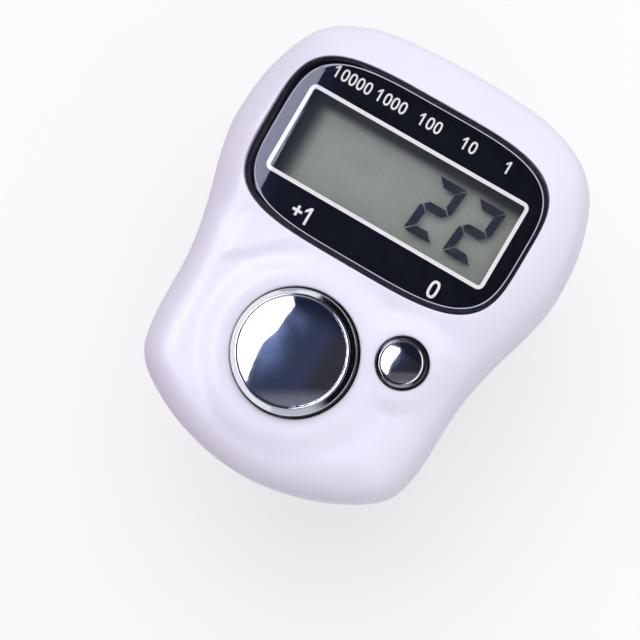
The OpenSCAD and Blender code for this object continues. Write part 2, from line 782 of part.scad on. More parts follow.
module contact_pads() color("#2a2a2c") {
    contact_pad(count_place, count_plunger_radius + pad_margin);
    contact_pad(reset_place, reset_plunger_radius + pad_margin);
}

module chip_cover() color("#17171a") {
    sphere_radius = (glob_radius * glob_radius + glob_height * glob_height) / (2 * glob_height);
    translate([0, half_length * glob_share, board_z]) intersection() {
        translate([0, 0, sphere_radius - glob_height]) sphere(r = sphere_radius);
        translate([0, 0, -glob_height]) cylinder(r = glob_radius + overrun, h = glob_height);
    }
}

module crystal_can() color("#c4c7cc") {
    translate([can_place_shares.x * half_width, can_place_shares.y * half_length, board_z - can_radius])
        rotate([90, 0, 0])
            cylinder(r = can_radius, h = can_length, center = true);
}

module chip_body(x, y, length, width, height) {
    translate([x - length / 2, y - width / 2, board_z - height]) cube([length, width, height]);
}

module board_resistors() color("#26262b") {
    for (i = [0, 1])
        chip_body(resistor_shares.x * half_width + i * 1.8 * resistor_length, resistor_shares.y * half_length,
                  resistor_length, resistor_length / 2, resistor_length / 4);
}

module board_capacitors() color("#b08a5a") {
    for (side = [-1, 1])
        chip_body(side * capacitor_shares.x * half_width, capacitor_shares.y * half_length,
                  capacitor_length * 0.6, capacitor_length, capacitor_length * 0.4);
}

module cell_can() color("#c7c9cb") {
    difference() {
        post([0, 0], cell_radius, cell_z, cell_top - can_wall);
        post([0, 0], cell_radius - can_wall, cell_z + can_wall, cell_top);
    }
}

module cell_seal() color("#2d3a52") {
    difference() {
        post([0, 0], cell_radius - can_wall, cell_top - 2 * can_wall, cell_top - can_wall);
        post([0, 0], cap_radius, cell_top - 3 * can_wall, cell_top);
    }
}

module cell_cap() color("#d6d7d8") {
    post([0, 0], cap_radius, cell_z + can_wall, cell_top);
}

module positive_contact() color("#d8c690") {
    reach = well_radius + 2 * well_wall;
    width = clip_slot - 4 * fit_gap;
    box(-width / 2, width / 2, cell_radius + touch_gap, cell_radius + touch_gap + contact_thickness,
        cell_top - cell_height / 2, board_z);
    box(-width / 2, width / 2, cell_radius + touch_gap, reach, board_z - contact_thickness, board_z);
}

module negative_contact() color("#d8c690") {
    t = contact_thickness;
    drop = board_z - cell_top;
    reach = cap_radius - cap_seat;
    width = cap_radius / 2;
    translate([0, width / 2, board_z]) rotate([90, 0, 0]) linear_extrude(width) polygon([
        [-reach, 0], [-reach, -t], [-reach / 2, -t], [-t, -drop], [t, -drop], [reach / 2, -drop / 2],
        [reach / 2, -drop / 2 + t], [t, t - drop], [-t, t - drop], [-reach / 2 + t, 0]]);
}

// Chromed button: flange, drafted wall, rounded rim with a fine groove, and a dome
module button(place, radius, base_z, rim_height, dome_rise, groove) {
    rim_radius = radius - rim_height * button_draft_share;
    dome_radius = rim_radius - 2 * groove;
    ball = (dome_radius * dome_radius + dome_rise * dome_rise) / (2 * dome_rise);
    top_z = base_z + rim_height;
    bead = 2 * groove;
    translate([place.x, place.y, 0]) difference() {
        union() {
            translate([0, 0, flange_z]) cylinder(r = radius + flange_margin, h = flange_thickness);
            translate([0, 0, flange_z]) cylinder(r = radius, h = base_z - flange_z);
            translate([0, 0, base_z]) rotate_extrude() polygon([
                [0, -touch_gap], [radius, -touch_gap], [radius, 0], [rim_radius, rim_height - bead],
                [0, rim_height - bead]]);
            translate([0, 0, top_z - bead]) {
                cylinder(r = rim_radius - bead, h = bead);
                rotate_extrude() translate([rim_radius - bead, 0]) circle(r = bead);
            }
            translate([0, 0, top_z - groove]) intersection() {
                translate([0, 0, dome_rise - ball]) sphere(r = ball);
                cylinder(r = dome_radius, h = 2 * dome_rise);
            }
        }
        translate([0, 0, top_z - groove]) rotate_extrude()
            translate([dome_radius, 0]) square([groove, 2 * groove]);
        difference() {
            translate([0, 0, flange_z - overrun])
                cylinder(r = radius - button_wall, h = overrun + base_z - flange_z);
            translate([0, 0, stem_z]) cylinder(r = radius * stem_share, h = base_z);
        }
    }
}

module count_button() color("#aab0bd") {
    button(count_place, count_radius, collar_z, count_rim_height, count_dome_rise, count_groove);
}

module reset_button() color("#aab0bd") {
    button(reset_place, reset_radius, small_collar_z, reset_rim_height, reset_dome_rise, reset_groove);
}

module keypad_sheet() color("#9fa3a8") {
    reach = reset_place - count_place;
    translate([0, 0, board_top]) linear_extrude(sheet_thickness) difference() {
        union() {
            translate(count_place) circle(r = count_web_radius + sheet_margin);
            translate(reset_place) circle(r = reset_web_radius + small_sheet_margin);
            translate(count_place) rotate(atan2(reach.y, reach.x)) translate([0, -reset_web_radius])
                square([norm(reach), 2 * reset_web_radius]);
        }
        translate(count_place) circle(r = count_web_radius - web_thickness);
        translate(reset_place) circle(r = reset_web_radius - web_thickness);
    }
}

// Thin cone of rubber from the sheet up to the plunger
module web(place, foot, top) {
    height = flange_z - fit_gap - sheet_z;
    translate([place.x, place.y, sheet_z]) rotate_extrude() polygon([
        [foot - web_thickness, 0], [foot, 0], [top + web_thickness + touch_gap, height],
        [top + touch_gap, height]]);
}

module count_web() color("#9fa3a8") {
    web(count_place, count_web_radius, count_plunger_radius);
}

module reset_web() color("#9fa3a8") {
    web(reset_place, reset_web_radius, reset_plunger_radius);
}

module count_plunger() color("#9fa3a8") {
    post(count_place, count_plunger_radius, plunger_z, stem_z);
}

module reset_plunger() color("#9fa3a8") {
    post(reset_place, reset_plunger_radius, plunger_z, stem_z);
}

module count_pill() color("#202024") {
    post(count_place, count_plunger_radius * pill_share, pill_z, plunger_z);
}

module reset_pill() color("#202024") {
    post(reset_place, reset_plunger_radius * pill_share, pill_z, plunger_z);
}

// Tub seen along X, from y0 to y1 and up from z0, with rounded lower corners
module tub(y0, y1, z0, z1, corner) {
    translate([y0 + corner, z0]) square([y1 - y0 - 2 * corner, z1 - z0]);
    translate([y0, z0 + corner]) square([y1 - y0, z1 - z0 - corner]);
    intersection() {
        for (y = [y0 + corner, y1 - corner]) translate([y, z0 + corner]) circle(r = corner);
        translate([y0, z0]) square([y1 - y0, corner]);
    }
}

module strap_extrude() {
    translate([-strap_width / 2, 0, 0]) rotate([90, 0, 90]) linear_extrude(strap_width) children();
}

module strap_anchor(side) {
    middle = side * (strap_half_gap + strap_thickness / 2);
    half = strap_thickness / 2 + anchor_reach;
    translate([middle - half, floor_z + touch_gap]) square([2 * half, anchor_height]);
}

module strap_hole_band() color("#cfd1d6") {
    left = -strap_half_gap - outer_shift;
    right = strap_half_gap;
    tail_z = rear_z - band_tail;
    bend_z = strap_thickness + bend_radius;
    difference() {
        strap_extrude() {
            difference() {
                tub(left - strap_thickness, right + strap_thickness, 0, tail_z,
                    bend_radius + strap_thickness);
                tub(left, right, strap_thickness, tail_z + overrun, bend_radius);
            }
            translate([right, bend_z]) square([strap_thickness, floor_z + touch_gap - bend_z]);
            strap_anchor(1);
        }
        for (i = [0:stud_count - 1])
            translate([0, -strap_half_gap, top_hole_z - i * hole_pitch]) rotate([90, 0, 0])
                cylinder(r = stud_radius + fit_gap, h = 4 * strap_thickness);
        for (i = [0:bend_hole_count - 1])
            translate([0, left + bend_radius, bend_z]) rotate([90 + (i + first_hole_share) * hole_turn, 0, 0])
                cylinder(r = stud_radius + fit_gap, h = bend_radius + 2 * strap_thickness);
    }
}

module strap_stud_band() color("#cfd1d6") {
    root_y = -strap_half_gap - strap_thickness / 2;
    head_start = 1.5 * strap_thickness + 2 * band_gap;
    union() {
        strap_extrude() {
            translate([-strap_half_gap - strap_thickness, stud_band_z])
                square([strap_thickness, floor_z + touch_gap - stud_band_z]);
            strap_anchor(-1);
        }
        for (i = [0:stud_count - 1]) translate([0, root_y, top_hole_z - i * hole_pitch]) rotate([90, 0, 0]) {
            cylinder(r = stud_radius, h = head_start + stud_head_height / 2);
            translate([0, 0, head_start]) cylinder(r = stud_head_radius, h = stud_head_height);
        }
    }
}

front_case();
rear_case();
case_screws();
battery_door();
door_screw();
display_lens();
lens_mask();
window_line();
lens_numbers();
lens_tape();
lcd_polariser();
lcd_front_glass();
lcd_segments();
lcd_rear_glass();
lcd_reflector();
lcd_frame();
zebra_connector();
circuit_board();
board_screws();
contact_pads();
chip_cover();
crystal_can();
board_resistors();
board_capacitors();
cell_can();
cell_cap();
cell_seal();
positive_contact();
negative_contact();
count_button();
reset_button();
keypad_sheet();
count_web();
reset_web();
count_plunger();
reset_plunger();
count_pill();
reset_pill();
strap_hole_band();
strap_stud_band();
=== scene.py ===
import math

import bmesh
import bpy
import numpy as np
from bpy.props import FloatProperty, FloatVectorProperty, PointerProperty
from bpy.types import Operator, Panel, PropertyGroup
from mathutils import Matrix, Vector
from mathutils.geometry import delaunay_2d_cdt


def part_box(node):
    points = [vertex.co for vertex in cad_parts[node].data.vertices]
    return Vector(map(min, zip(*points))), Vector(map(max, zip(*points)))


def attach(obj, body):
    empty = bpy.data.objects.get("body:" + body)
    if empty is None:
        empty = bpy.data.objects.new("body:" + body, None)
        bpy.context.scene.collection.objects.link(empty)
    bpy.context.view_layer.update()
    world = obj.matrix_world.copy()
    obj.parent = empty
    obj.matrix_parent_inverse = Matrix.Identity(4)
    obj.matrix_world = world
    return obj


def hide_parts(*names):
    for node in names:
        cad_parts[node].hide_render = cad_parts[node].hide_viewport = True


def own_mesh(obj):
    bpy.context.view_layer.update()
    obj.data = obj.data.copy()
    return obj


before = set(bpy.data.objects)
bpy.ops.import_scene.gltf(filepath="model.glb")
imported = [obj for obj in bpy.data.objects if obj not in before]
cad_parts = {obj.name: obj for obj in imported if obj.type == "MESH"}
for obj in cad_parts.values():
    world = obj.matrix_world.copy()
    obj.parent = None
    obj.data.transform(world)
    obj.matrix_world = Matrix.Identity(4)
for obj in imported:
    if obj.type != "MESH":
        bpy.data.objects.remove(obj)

bl_info = {
    "name": "Finger tally counter",
    "version": (1, 0, 0),
    "blender": (4, 5, 0),
    "location": "3D View > Sidebar > Tally counter",
    "description": "Dresses the CAD frame of a digital finger tally counter and sets its stage",
    "category": "Object",
}

MM = 0.001
CASE, COUNT_KEY, RESET_KEY = "case", "count_key", "reset_key"
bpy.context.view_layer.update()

# Outline of the case as shares of its half width and half length, from the top round to the bottom
OUTLINE_SHARES = (
    (0, 1), (0.4, 0.984), (0.647, 0.936), (0.847, 0.824), (0.967, 0.596), (1, 0.346), (0.967, 0.16),
    (0.887, -0.069), (0.837, -0.293), (0.823, -0.6), (0.755, -0.775), (0.54, -0.897), (0.27, -0.973), (0, -1))
OUTLINE_STEPS = 12
# Rounds of smoothing of the line where the rounded edge meets the face
RIM_ROUNDS = 72
# How square the lens and the dish round the buttons are: 2 is an ellipse
LENS_POWER = 3.9
DISH_POWER = 2.3
OVAL_POINTS = 192
CIRCLE_POINTS = 128
BUTTON_POINTS = 160
# Distance between the inner points of the casing's face
FACE_SPACING = 0.27 * MM
# Clearance that keeps two faces from sharing a plane
HAIR = 0.05 * MM

# Sizes of the frame's source that its boxes don't show
LIP_HEIGHT = 0.7 * MM
ANCHOR_REACH = 0.7 * MM
ANCHOR_HEIGHT = 1.3 * MM
BAND_TAIL = 2.2 * MM
TAIL_HOLE_SHARE = 0.85
STUD_HEAD_MARGIN = 0.45 * MM
STUD_HEAD_HEIGHT = 0.55 * MM
STUD_COUNT = 2

# About the length of one wave of Blender's wave texture at scale 1
WAVE_LENGTH = 1 / 3.14


def linear(code):
    """sRGB hex colour as linear red, green, blue and alpha."""
    shares = [int(code[i:i + 2], 16) / 255 for i in (1, 3, 5)]
    return tuple(s / 12.92 if s <= 0.04045 else ((s + 0.055) / 1.055) ** 2.4 for s in shares) + (1.0,)


def size(name, description, millimetres):
    """A length that a user may change."""
    return FloatProperty(name=name, description=description, default=millimetres * MM, min=0, unit="LENGTH",
                         precision=5)


def ratio(name, description, value):
    """A plain number that a user may change."""
    return FloatProperty(name=name, description=description, default=value, min=0)


def colour(name, description, code):
    """A colour that a user may change."""
    return FloatVectorProperty(name=name, description=description, default=linear(code), size=4, min=0, max=1,
                               subtype="COLOR")


# Sizes and colours that a user may change

class CasingSizes(PropertyGroup):
    """Relief and roundings of the front casing"""
    edge_round: size("Edge width", "Width of the rounding along the front edge", 3.6)
    edge_height: size("Edge height", "Height of the rounding along the front edge", 3.2)
    side_draft: size("Side draft", "How far the side leans in below the rounding", 0.15)
    crown_rise: size("Crown", "How far the middle of the face is crowned", 0.3)
    shelf_rise: size("Shelf rise", "Rise of the raised shelf round the lens", 0.5)
    shelf_margin: size("Shelf margin", "Width of the shelf outside the lens", 1.1)
    shelf_fall: size("Shelf fall", "Width over which the neck falls to the face at its sides", 1.1)
    lens_fall: size("Lens fall", "Width over which the shelf falls to the face round the lens", 2.6)
    crease: size("Crease", "Width of the crisp step at the foot of the neck", 0.8)
    crease_end: size("Crease end", "Width of that step where it has faded out", 5)
    corner_reach: size("Corner reach", "How far round the neck's left corner its step is shallower", 6)
    corner_drop: FloatProperty(name="Corner drop", description="Share of its height that the step loses there",
                               default=0.5, min=0, max=1)
    neck_half_width: size("Neck half width", "Half width of the shelf's neck towards the buttons", 8.8)
    dish_margin: size("Dish margin", "How much wider than the neck the dish round the buttons is", 1.7)
    dish_shift: size("Dish shift", "How far the dish sits below the count button", 0.9)
    dish_reach: size("Dish reach", "How far the dish reaches past the count button's hole", 1.5)
    collar_rise: size("Collar rise", "Rise of the collar round the count button", 0.62)
    collar_margin: size("Collar margin", "Width of the collar's flat top", 0.9)
    collar_fall: size("Collar fall", "Width over which the collar falls to the face", 2.4)
    small_collar_rise: size("Small collar rise", "Rise of the collar round the reset button", 0.55)
    small_collar_fall: size("Small collar fall", "Width over which the small collar falls", 1.8)
    wall: size("Wall", "Thickness of the casing's wall", 1.3)
    cavity_step: size("Cavity step", "How much thicker the wall is near the face", 1)
    lens_sink: size("Lens sink", "How far the lens rim lies below the shelf", 0.36)
    ledge: size("Lens ledge", "Thickness of the ledge under the lens", 0.6)
    window_corner: size("Window corner", "Corner radius of the ledge's window opening", 0.57)
    gap: size("Gap", "Gap between the casing and what sits in it", 0.1)
    recess_round: size("Recess rounding", "Radius of the moulded edge round the lens recess", 0.08)
    hole_round: size("Hole rounding", "Radius of the moulded edge round a button hole", 0.14)
    seam: size("Seam", "Width of the chamfer along the parting line", 0.2)


class ButtonSizes(PropertyGroup):
    """Profile of the chromed buttons"""
    flange_margin: size("Flange margin", "How far the flange reaches past the button's side", 0.4)
    wall: size("Button wall", "Thickness of the button's skirt", 0.9)
    slope: ratio("Cone slope", "Height over width of the cone round the rim", 1.05)
    # The shoulder is painted dark as shade, together with the button's side
    shoulder: size("Shoulder", "Width of the dark shoulder outside the cone", 0.1)
    stem: ratio("Stem share", "Stem radius over button radius", 0.45)
    count_rim: size("Count rim height", "Height of the count button's rim above its collar", 1.15)
    count_dome: size("Count dome rise", "Rise of the count button's dome", 0.55)
    count_bead: size("Count bead", "Radius of the bead round the count button's dome", 0.13)
    count_cone: size("Count cone", "Width of the count button's cone", 0.42)
    reset_rim: size("Reset rim height", "Height of the reset button's rim above its collar", 0.7)
    reset_dome: size("Reset dome rise", "Rise of the reset button's dome", 0.34)
    reset_bead: size("Reset bead", "Radius of the bead round the reset button's dome", 0.09)
    reset_cone: size("Reset cone", "Width of the reset button's cone", 0.14)


class DisplaySizes(PropertyGroup):
    """Lens and display"""
    lens_crown: size("Lens crown", "Rise of the lens from its rim to its middle", 0.3)
    lens_bevel: size("Lens bevel", "Width of the polished bevel at the lens's ends", 0.52)
    side_bevel: size("Side bevel", "Width of the polished bevel along the lens's long sides", 0.36)
    bevel_shift: size("Bevel shift", "Half of what the bevel is wider on the left than on the right", 0.26)
    # The pale line where bevel and face meet is a painted highlight
    bevel_drop: size("Bevel drop", "Height of that bevel", 0.42)
    painted_highlight_width: size("Ground edge", "Width of the matt line where bevel and face meet", 0.07)
    rim_drop: size("Rim drop", "How much further the polished face rolls off to its ends", 0.16)
    crown_power: FloatProperty(name="Crown power", description="How late the lens rolls off to its ends",
                               default=7, min=1)
    crown_skew: FloatProperty(name="Crown skew", default=0.05,
                              description="How far the roll-off leans against the lens's ends")


class StrapSizes(PropertyGroup):
    """Soft finger strap"""
    thickness: size("Thickness", "Thickness of the strap", 1.2)
    bend_radius: size("Bend radius", "Inner radius of the strap's lower bends", 6.3)
    edge_round: size("Edge rounding", "Radius of the strap's moulded edges", 0.32)
    hole_pitch: size("Hole pitch", "Distance from one adjusting hole to the next", 3)
    stud_radius: size("Stud radius", "Radius of the studs that close the strap", 0.75)


class CounterColours(PropertyGroup):
    """Colours of the counter, as the eye sees them in plain light"""
    casing: colour("Casing", "Moulded front casing", "#EBEBFB")
    rear: colour("Rear casing", "Moulded rear casing and battery door", "#E8E6F6")
    chrome: colour("Chrome", "Bright plating of the buttons", "#EDEFF4")
    # A darker, warmer chrome for the reset button
    darker_chrome: colour("Thin chrome", "Smoky plating of the reset button", "#BEB8BB")
    # Nearly black chrome on the buttons' sides, shoulders and the line below the bead: painted shade
    painted_shade_chrome: colour("Dark chrome", "Plating on the buttons' sides", "#1A1B20")
    mask: colour("Mask ink", "Ink of the mask behind the lens", "#0D0E13")
    white_ink: colour("White ink", "Window line and figures", "#FFFFFF")
    polariser: colour("Polariser", "Tint of the display's front film", "#E4E6E2")
    reflector: colour("Reflector", "Reflector behind the display", "#CDD3CB")
    digits: colour("Digits", "Lit segments of the display", "#151A2C")
    strap: colour("Strap", "Soft strap", "#C9CAD2")
    rubber: colour("Keypad rubber", "Silicone of the keypad", "#9A9CA1")
    board: colour("Solder mask", "Lacquer of the circuit board", "#1F5A34")


GROUPS = {
    "tally_casing": CasingSizes, "tally_buttons": ButtonSizes, "tally_display": DisplaySizes,
    "tally_strap": StrapSizes, "tally_colours": CounterColours}


# Shader nodes and finishes

def add_node(tree, kind, inputs=(), **settings):
    """A new node with its settings. Its inputs, by name or in order, are values, or what they link from."""
    node = tree.nodes.new("ShaderNode" + kind)
    for name, value in settings.items():
        setattr(node, name, value)
    in_use = [socket for socket in node.inputs if socket.enabled]
    for key, value in inputs.items() if isinstance(inputs, dict) else enumerate(inputs):
        socket = node.inputs[key] if isinstance(key, str) else in_use[key]
        if isinstance(value, bpy.types.Node):
            value = next(output for output in value.outputs if output.enabled)
        if isinstance(value, bpy.types.NodeSocket):
            tree.links.new(value, socket)
        else:
            socket.default_value = value
    return node


def new_material(name):
    """(material, its empty tree, the object's coordinates)"""
    material = bpy.data.materials.new(name)
    material.use_nodes = True
    tree = material.node_tree
    tree.nodes.clear()
    return material, tree, add_node(tree, "TexCoord").outputs["Object"]


def per_metre(millimetres):
    """Texture scale whose pattern repeats about once in this length."""
    return 1 / (millimetres * MM)


def shade(tint, share):
    return tuple(min(1.0, part * share) for part in tint[:3]) + (1.0,)


def varied(tree, place, base, other, patch_mm):
    """Colour that drifts softly between base and other over patches of this size."""
    cloud = add_node(tree, "TexNoise", {"Vector": place, "Scale": per_metre(patch_mm), "Detail": 3.0})
    share = add_node(tree, "MapRange", (cloud, 0.35, 0.65))
    return add_node(tree, "Mix", (share, base, other), data_type="RGBA")


def spread(tree, place, low, high, patch_mm):
    """A number that drifts between low and high over patches of this size, such as for roughness."""
    cloud = add_node(tree, "TexNoise", {"Vector": place, "Scale": per_metre(patch_mm), "Detail": 4.0})
    return add_node(tree, "MapRange", (cloud, 0.3, 0.7, low, high))


def uneven(tree, place, bump_mm, depth_mm, detail=3.0):
    """Normal of a surface with soft bumps of this width and depth."""
    cloud = add_node(tree, "TexNoise", {"Vector": place, "Scale": per_metre(bump_mm), "Detail": detail})
    return add_node(tree, "Bump", {"Height": cloud, "Distance": depth_mm * MM})


def within(tree, *ramps):
    """Share that rises softly to 1 where each ramp's value goes from its first limit to its second."""
    share = 1.0
    for ramp in ramps:
        step = add_node(tree, "MapRange", ramp, interpolation_type="SMOOTHSTEP")
        share = add_node(tree, "Math", (share, step), operation="MULTIPLY")
    return share


def moulded_abs(name, base, gloss, coat):
    """Injection-moulded ABS: a milky body under a polished skin, faintly wavy and softly scuffed."""
    material, tree, place = new_material(name)
    surface = add_node(tree, "BsdfPrincipled", {
        "Base Color": varied(tree, place, base, shade(base, 0.975), 7.0), "IOR": 1.53,
        "Roughness": spread(tree, place, gloss, gloss + 0.06, 3.0),
        "Normal": uneven(tree, place, 2.6, 0.003, detail=1.0),
        "Subsurface Weight": 0.1, "Subsurface Radius": (0.9, 0.75, 0.8), "Subsurface Scale": 0.6 * MM,
        "Coat Weight": coat, "Coat Roughness": 0.08})
    add_node(tree, "OutputMaterial", [surface])
    return material


def plated_chrome(name, base, low, high):
    """Bright chrome plated on ABS: a mirror with the moulding's slight waviness and fine wiping marks."""
    material, tree, place = new_material(name)
    surface = add_node(tree, "BsdfPrincipled", {
        "Base Color": varied(tree, place, base, shade(base, 0.94), 2.0), "Metallic": 1.0,
        "Roughness": spread(tree, place, low, high, 0.8),
        "Normal": uneven(tree, place, 3.2, 0.003, detail=0.5)})
    add_node(tree, "OutputMaterial", [surface])
    return material


def mirror_share(tree, least):
    """How much a clear face mirrors: least seen straight on, all at a grazing angle, from both sides."""
    facing = add_node(tree, "LayerWeight", {"Blend": 0.5}).outputs["Facing"]
    steep = add_node(tree, "Math", (facing, 5.0), operation="POWER")
    return add_node(tree, "MapRange", {"Value": steep, "To Min": least})


def clear_sheet(name, passed, gloss, least, mirrored=(1, 1, 1, 1)):
    """Lets light straight through with a drifting tint, and mirrors a little with a drifting roughness."""
    material, tree, place = new_material(name)
    clear = add_node(tree, "BsdfTransparent", {"Color": varied(tree, place, *passed)})
    mirror = add_node(tree, "BsdfGlossy", {"Color": mirrored, "Roughness": spread(tree, place, *gloss)})
    mixed = add_node(tree, "MixShader", (mirror_share(tree, least), clear, mirror))
    add_node(tree, "OutputMaterial", [mixed])
    return material


def clear_acrylic(name):
    """Polished acrylic: it shows only as the violet sheen of what it mirrors, with faint wiping marks."""
    return clear_sheet(name, (linear("#FEFEFE"), linear("#FDFDFE"), 6.0), (0.02, 0.05, 1.6), 0.042,
                       linear("#EFF0FF"))


def display_film(name, tint, speckle):
    """Display film: a pale tint and the fine grain of its adhesive, under a satin gloss."""
    return clear_sheet(name, (tint, shade(tint, 1 - speckle), 0.12), (0.25, 0.4, 0.5), 0.02)


def reflector_foil(name, tint, low, high):
    """Foil lacquered matt: it scatters light back. Painted shade darkens its left and head edges softly, where
    the bezel's shadow falls.
    """
    material, tree, place = new_material(name)
    across, along, _ = add_node(tree, "SeparateXYZ", [place]).outputs
    # Painted shade: towards the left and head edges the lacquer turns nearly black, softly, in place of the
    # bezel's shadow
    shade_core, left_blur, head_blur = 0.7 * MM, 2.5 * MM, 1.6 * MM
    clear_of_painted_shade = within(tree, (across, low.x + shade_core, low.x + left_blur),
                           (along, high.y - shade_core, high.y - head_blur))
    lacquer = varied(tree, place, tint, shade(tint, 0.93), 2.5)
    base = add_node(tree, "Mix", (clear_of_painted_shade, shade(tint, 0.08), lacquer), data_type="RGBA")
    surface = add_node(tree, "BsdfPrincipled", {
        "Base Color": base, "Roughness": 0.55, "IOR": 1.5, "Normal": uneven(tree, place, 0.1, 0.006)})
    add_node(tree, "OutputMaterial", [surface])
    return material


def plain_finish(name, base, other, patch_mm, roughness, ior=1.5, grain_mm=0.3, depth_mm=0.004, **extra):
    """A finish of one stuff: colour that drifts, roughness that varies and a fine grain of a real size."""
    material, tree, place = new_material(name)
    surface = add_node(tree, "BsdfPrincipled", {
        "Base Color": varied(tree, place, base, other, patch_mm), "IOR": ior,
        "Roughness": spread(tree, place, roughness * 0.85, roughness * 1.15, patch_mm / 2),
        "Normal": uneven(tree, place, grain_mm, depth_mm), **extra})
    add_node(tree, "OutputMaterial", [surface])
    return material


def solder_mask(name, base):
    """Glass-fibre board under green lacquer: copper runs show through as slightly raised, paler lines."""
    material, tree, place = new_material(name)
    runs = add_node(tree, "TexBrick", {
        "Vector": place, "Scale": per_metre(2.4), "Mortar Size": 0.06, "Mortar Smooth": 0.2,
        "Brick Width": 1.4, "Row Height": 0.5}).outputs["Fac"]
    surface = add_node(tree, "BsdfPrincipled", {
        "Base Color": add_node(tree, "Mix", (runs, base, shade(base, 1.9)), data_type="RGBA"), "IOR": 1.5,
        "Roughness": spread(tree, place, 0.25, 0.4, 1.5),
        "Normal": add_node(tree, "Bump", {"Height": runs, "Distance": 0.02 * MM})})
    add_node(tree, "OutputMaterial", [surface])
    return material


def turned_metal(name, base, roughness, ring_mm):
    """Stamped or turned metal: fine rings round its axis catch the light as a soft cross."""
    material, tree, place = new_material(name)
    rings = add_node(tree, "TexWave", {
        "Vector": place, "Scale": WAVE_LENGTH * per_metre(ring_mm), "Distortion": 2.0, "Detail": 2.0},
        wave_type="RINGS", rings_direction="Z").outputs["Fac"]
    surface = add_node(tree, "BsdfPrincipled", {
        "Base Color": varied(tree, place, base, shade(base, 0.86), 1.5), "Metallic": 1.0,
        "Roughness": spread(tree, place, roughness, roughness + 0.12, 0.9),
        "Normal": add_node(tree, "Bump", {"Height": rings, "Distance": 0.002 * MM})})
    add_node(tree, "OutputMaterial", [surface])
    return material


# Mesh building

def ease(t):
    """Soft step from 0 to 1."""
    t = np.clip(t, 0, 1)
    return t * t * (3 - 2 * t)


def mix(a, b, share):
    return a + (b - a) * share


def oval(half_x, half_y, power, centre=(0, 0), count=OVAL_POINTS):
    """Points of an oval with flattened sides, anticlockwise."""
    turn = np.linspace(0, 2 * math.pi, count, endpoint=False)
    across, along = np.cos(turn), np.sin(turn)
    return np.c_[centre[0] + half_x * np.sign(across) * np.abs(across) ** (2 / power),
                 centre[1] + half_y * np.sign(along) * np.abs(along) ** (2 / power)]


def circle(centre, radius, count=CIRCLE_POINTS):
    return oval(radius, radius, 2, centre, count)


def rect(low, high):
    return np.array([(low.x, low.y), (high.x, low.y), (high.x, high.y), (low.x, high.y)])


def rounded_rect(half_x, half_y, corner, centre=(0, 0), steps=8):
    """Points of a rectangle with round corners, anticlockwise."""
    points = []
    for number, (sx, sy) in enumerate(((1, 1), (-1, 1), (-1, -1), (1, -1))):
        for step in range(steps + 1):
            turn = math.pi / 2 * (number + step / steps)
            points.append((centre[0] + sx * (half_x - corner) + corner * math.cos(turn),
                           centre[1] + sy * (half_y - corner) + corner * math.sin(turn)))
    return np.array(points)


def cross(a, b):
    return a[..., 0] * b[..., 1] - a[..., 1] * b[..., 0]


def oval_size(x, y, half_x, half_y, power):
    """How large the oval through each point is, against the one with these half widths."""
    return (np.abs(x / half_x) ** power + np.abs(y / half_y) ** power) ** (1 / power)


def inside(points, loop):
    """Which points lie inside a closed loop."""
    x, y = points[:, :1], points[:, 1:]
    a, b = loop, np.roll(loop, -1, 0)
    crosses = (a[:, 1] > y) != (b[:, 1] > y)
    # A level side crosses nothing, so any rise but 0 does for it
    rise = np.where(b[:, 1] == a[:, 1], 1, b[:, 1] - a[:, 1])
    left = x < (b[:, 0] - a[:, 0]) * (y - a[:, 1]) / rise + a[:, 0]
    return (crosses & left).sum(1) % 2 == 1


def kept_inside(points, loop, centre):
    """The points drawn towards the centre, by small steps, where they lie outside the loop."""
    rounds, step = 40, 0.006
    shares, middle = np.ones((len(points), 1)), np.array(centre)
    for _ in range(rounds):
        moved = middle + (points - middle) * shares
        shares[~inside(moved, loop)] -= step
    return middle + (points - middle) * shares


def add_ring(bm, points, heights):
    """New vertices on a closed run of plan points, at one height or at a height each."""
    heights = np.broadcast_to(heights, len(points))
    return [bm.verts.new((p[0], p[1], h)) for p, h in zip(points, heights)]


def join_rings(bm, first, second):
    """Faces between two rings of the same count."""
    count = len(first)
    return [bm.faces.new((first[i], first[(i + 1) % count], second[(i + 1) % count], second[i]))
            for i in range(count)]


def join_all(bm, rings, kinds=()):
    """Faces from each ring to the next. kinds gives the first rows' materials, and the others have 0."""
    for number, (first, second) in enumerate(zip(rings, rings[1:])):
        for face in join_rings(bm, first, second):
            face.material_index = kinds[number] if number < len(kinds) else 0


def fill_ring(bm, ring, point):
    """Closes a ring with a fan round one point."""
    tip = bm.verts.new(point)
    for i in range(len(ring)):
        bm.faces.new((ring[i], ring[(i + 1) % len(ring)], tip))


def in_plate(points, loops):
    """Which points lie inside the first loop and outside the others."""
    keep = inside(points, loops[0])
    for loop in loops[1:]:
        keep &= ~inside(points, loop)
    return keep


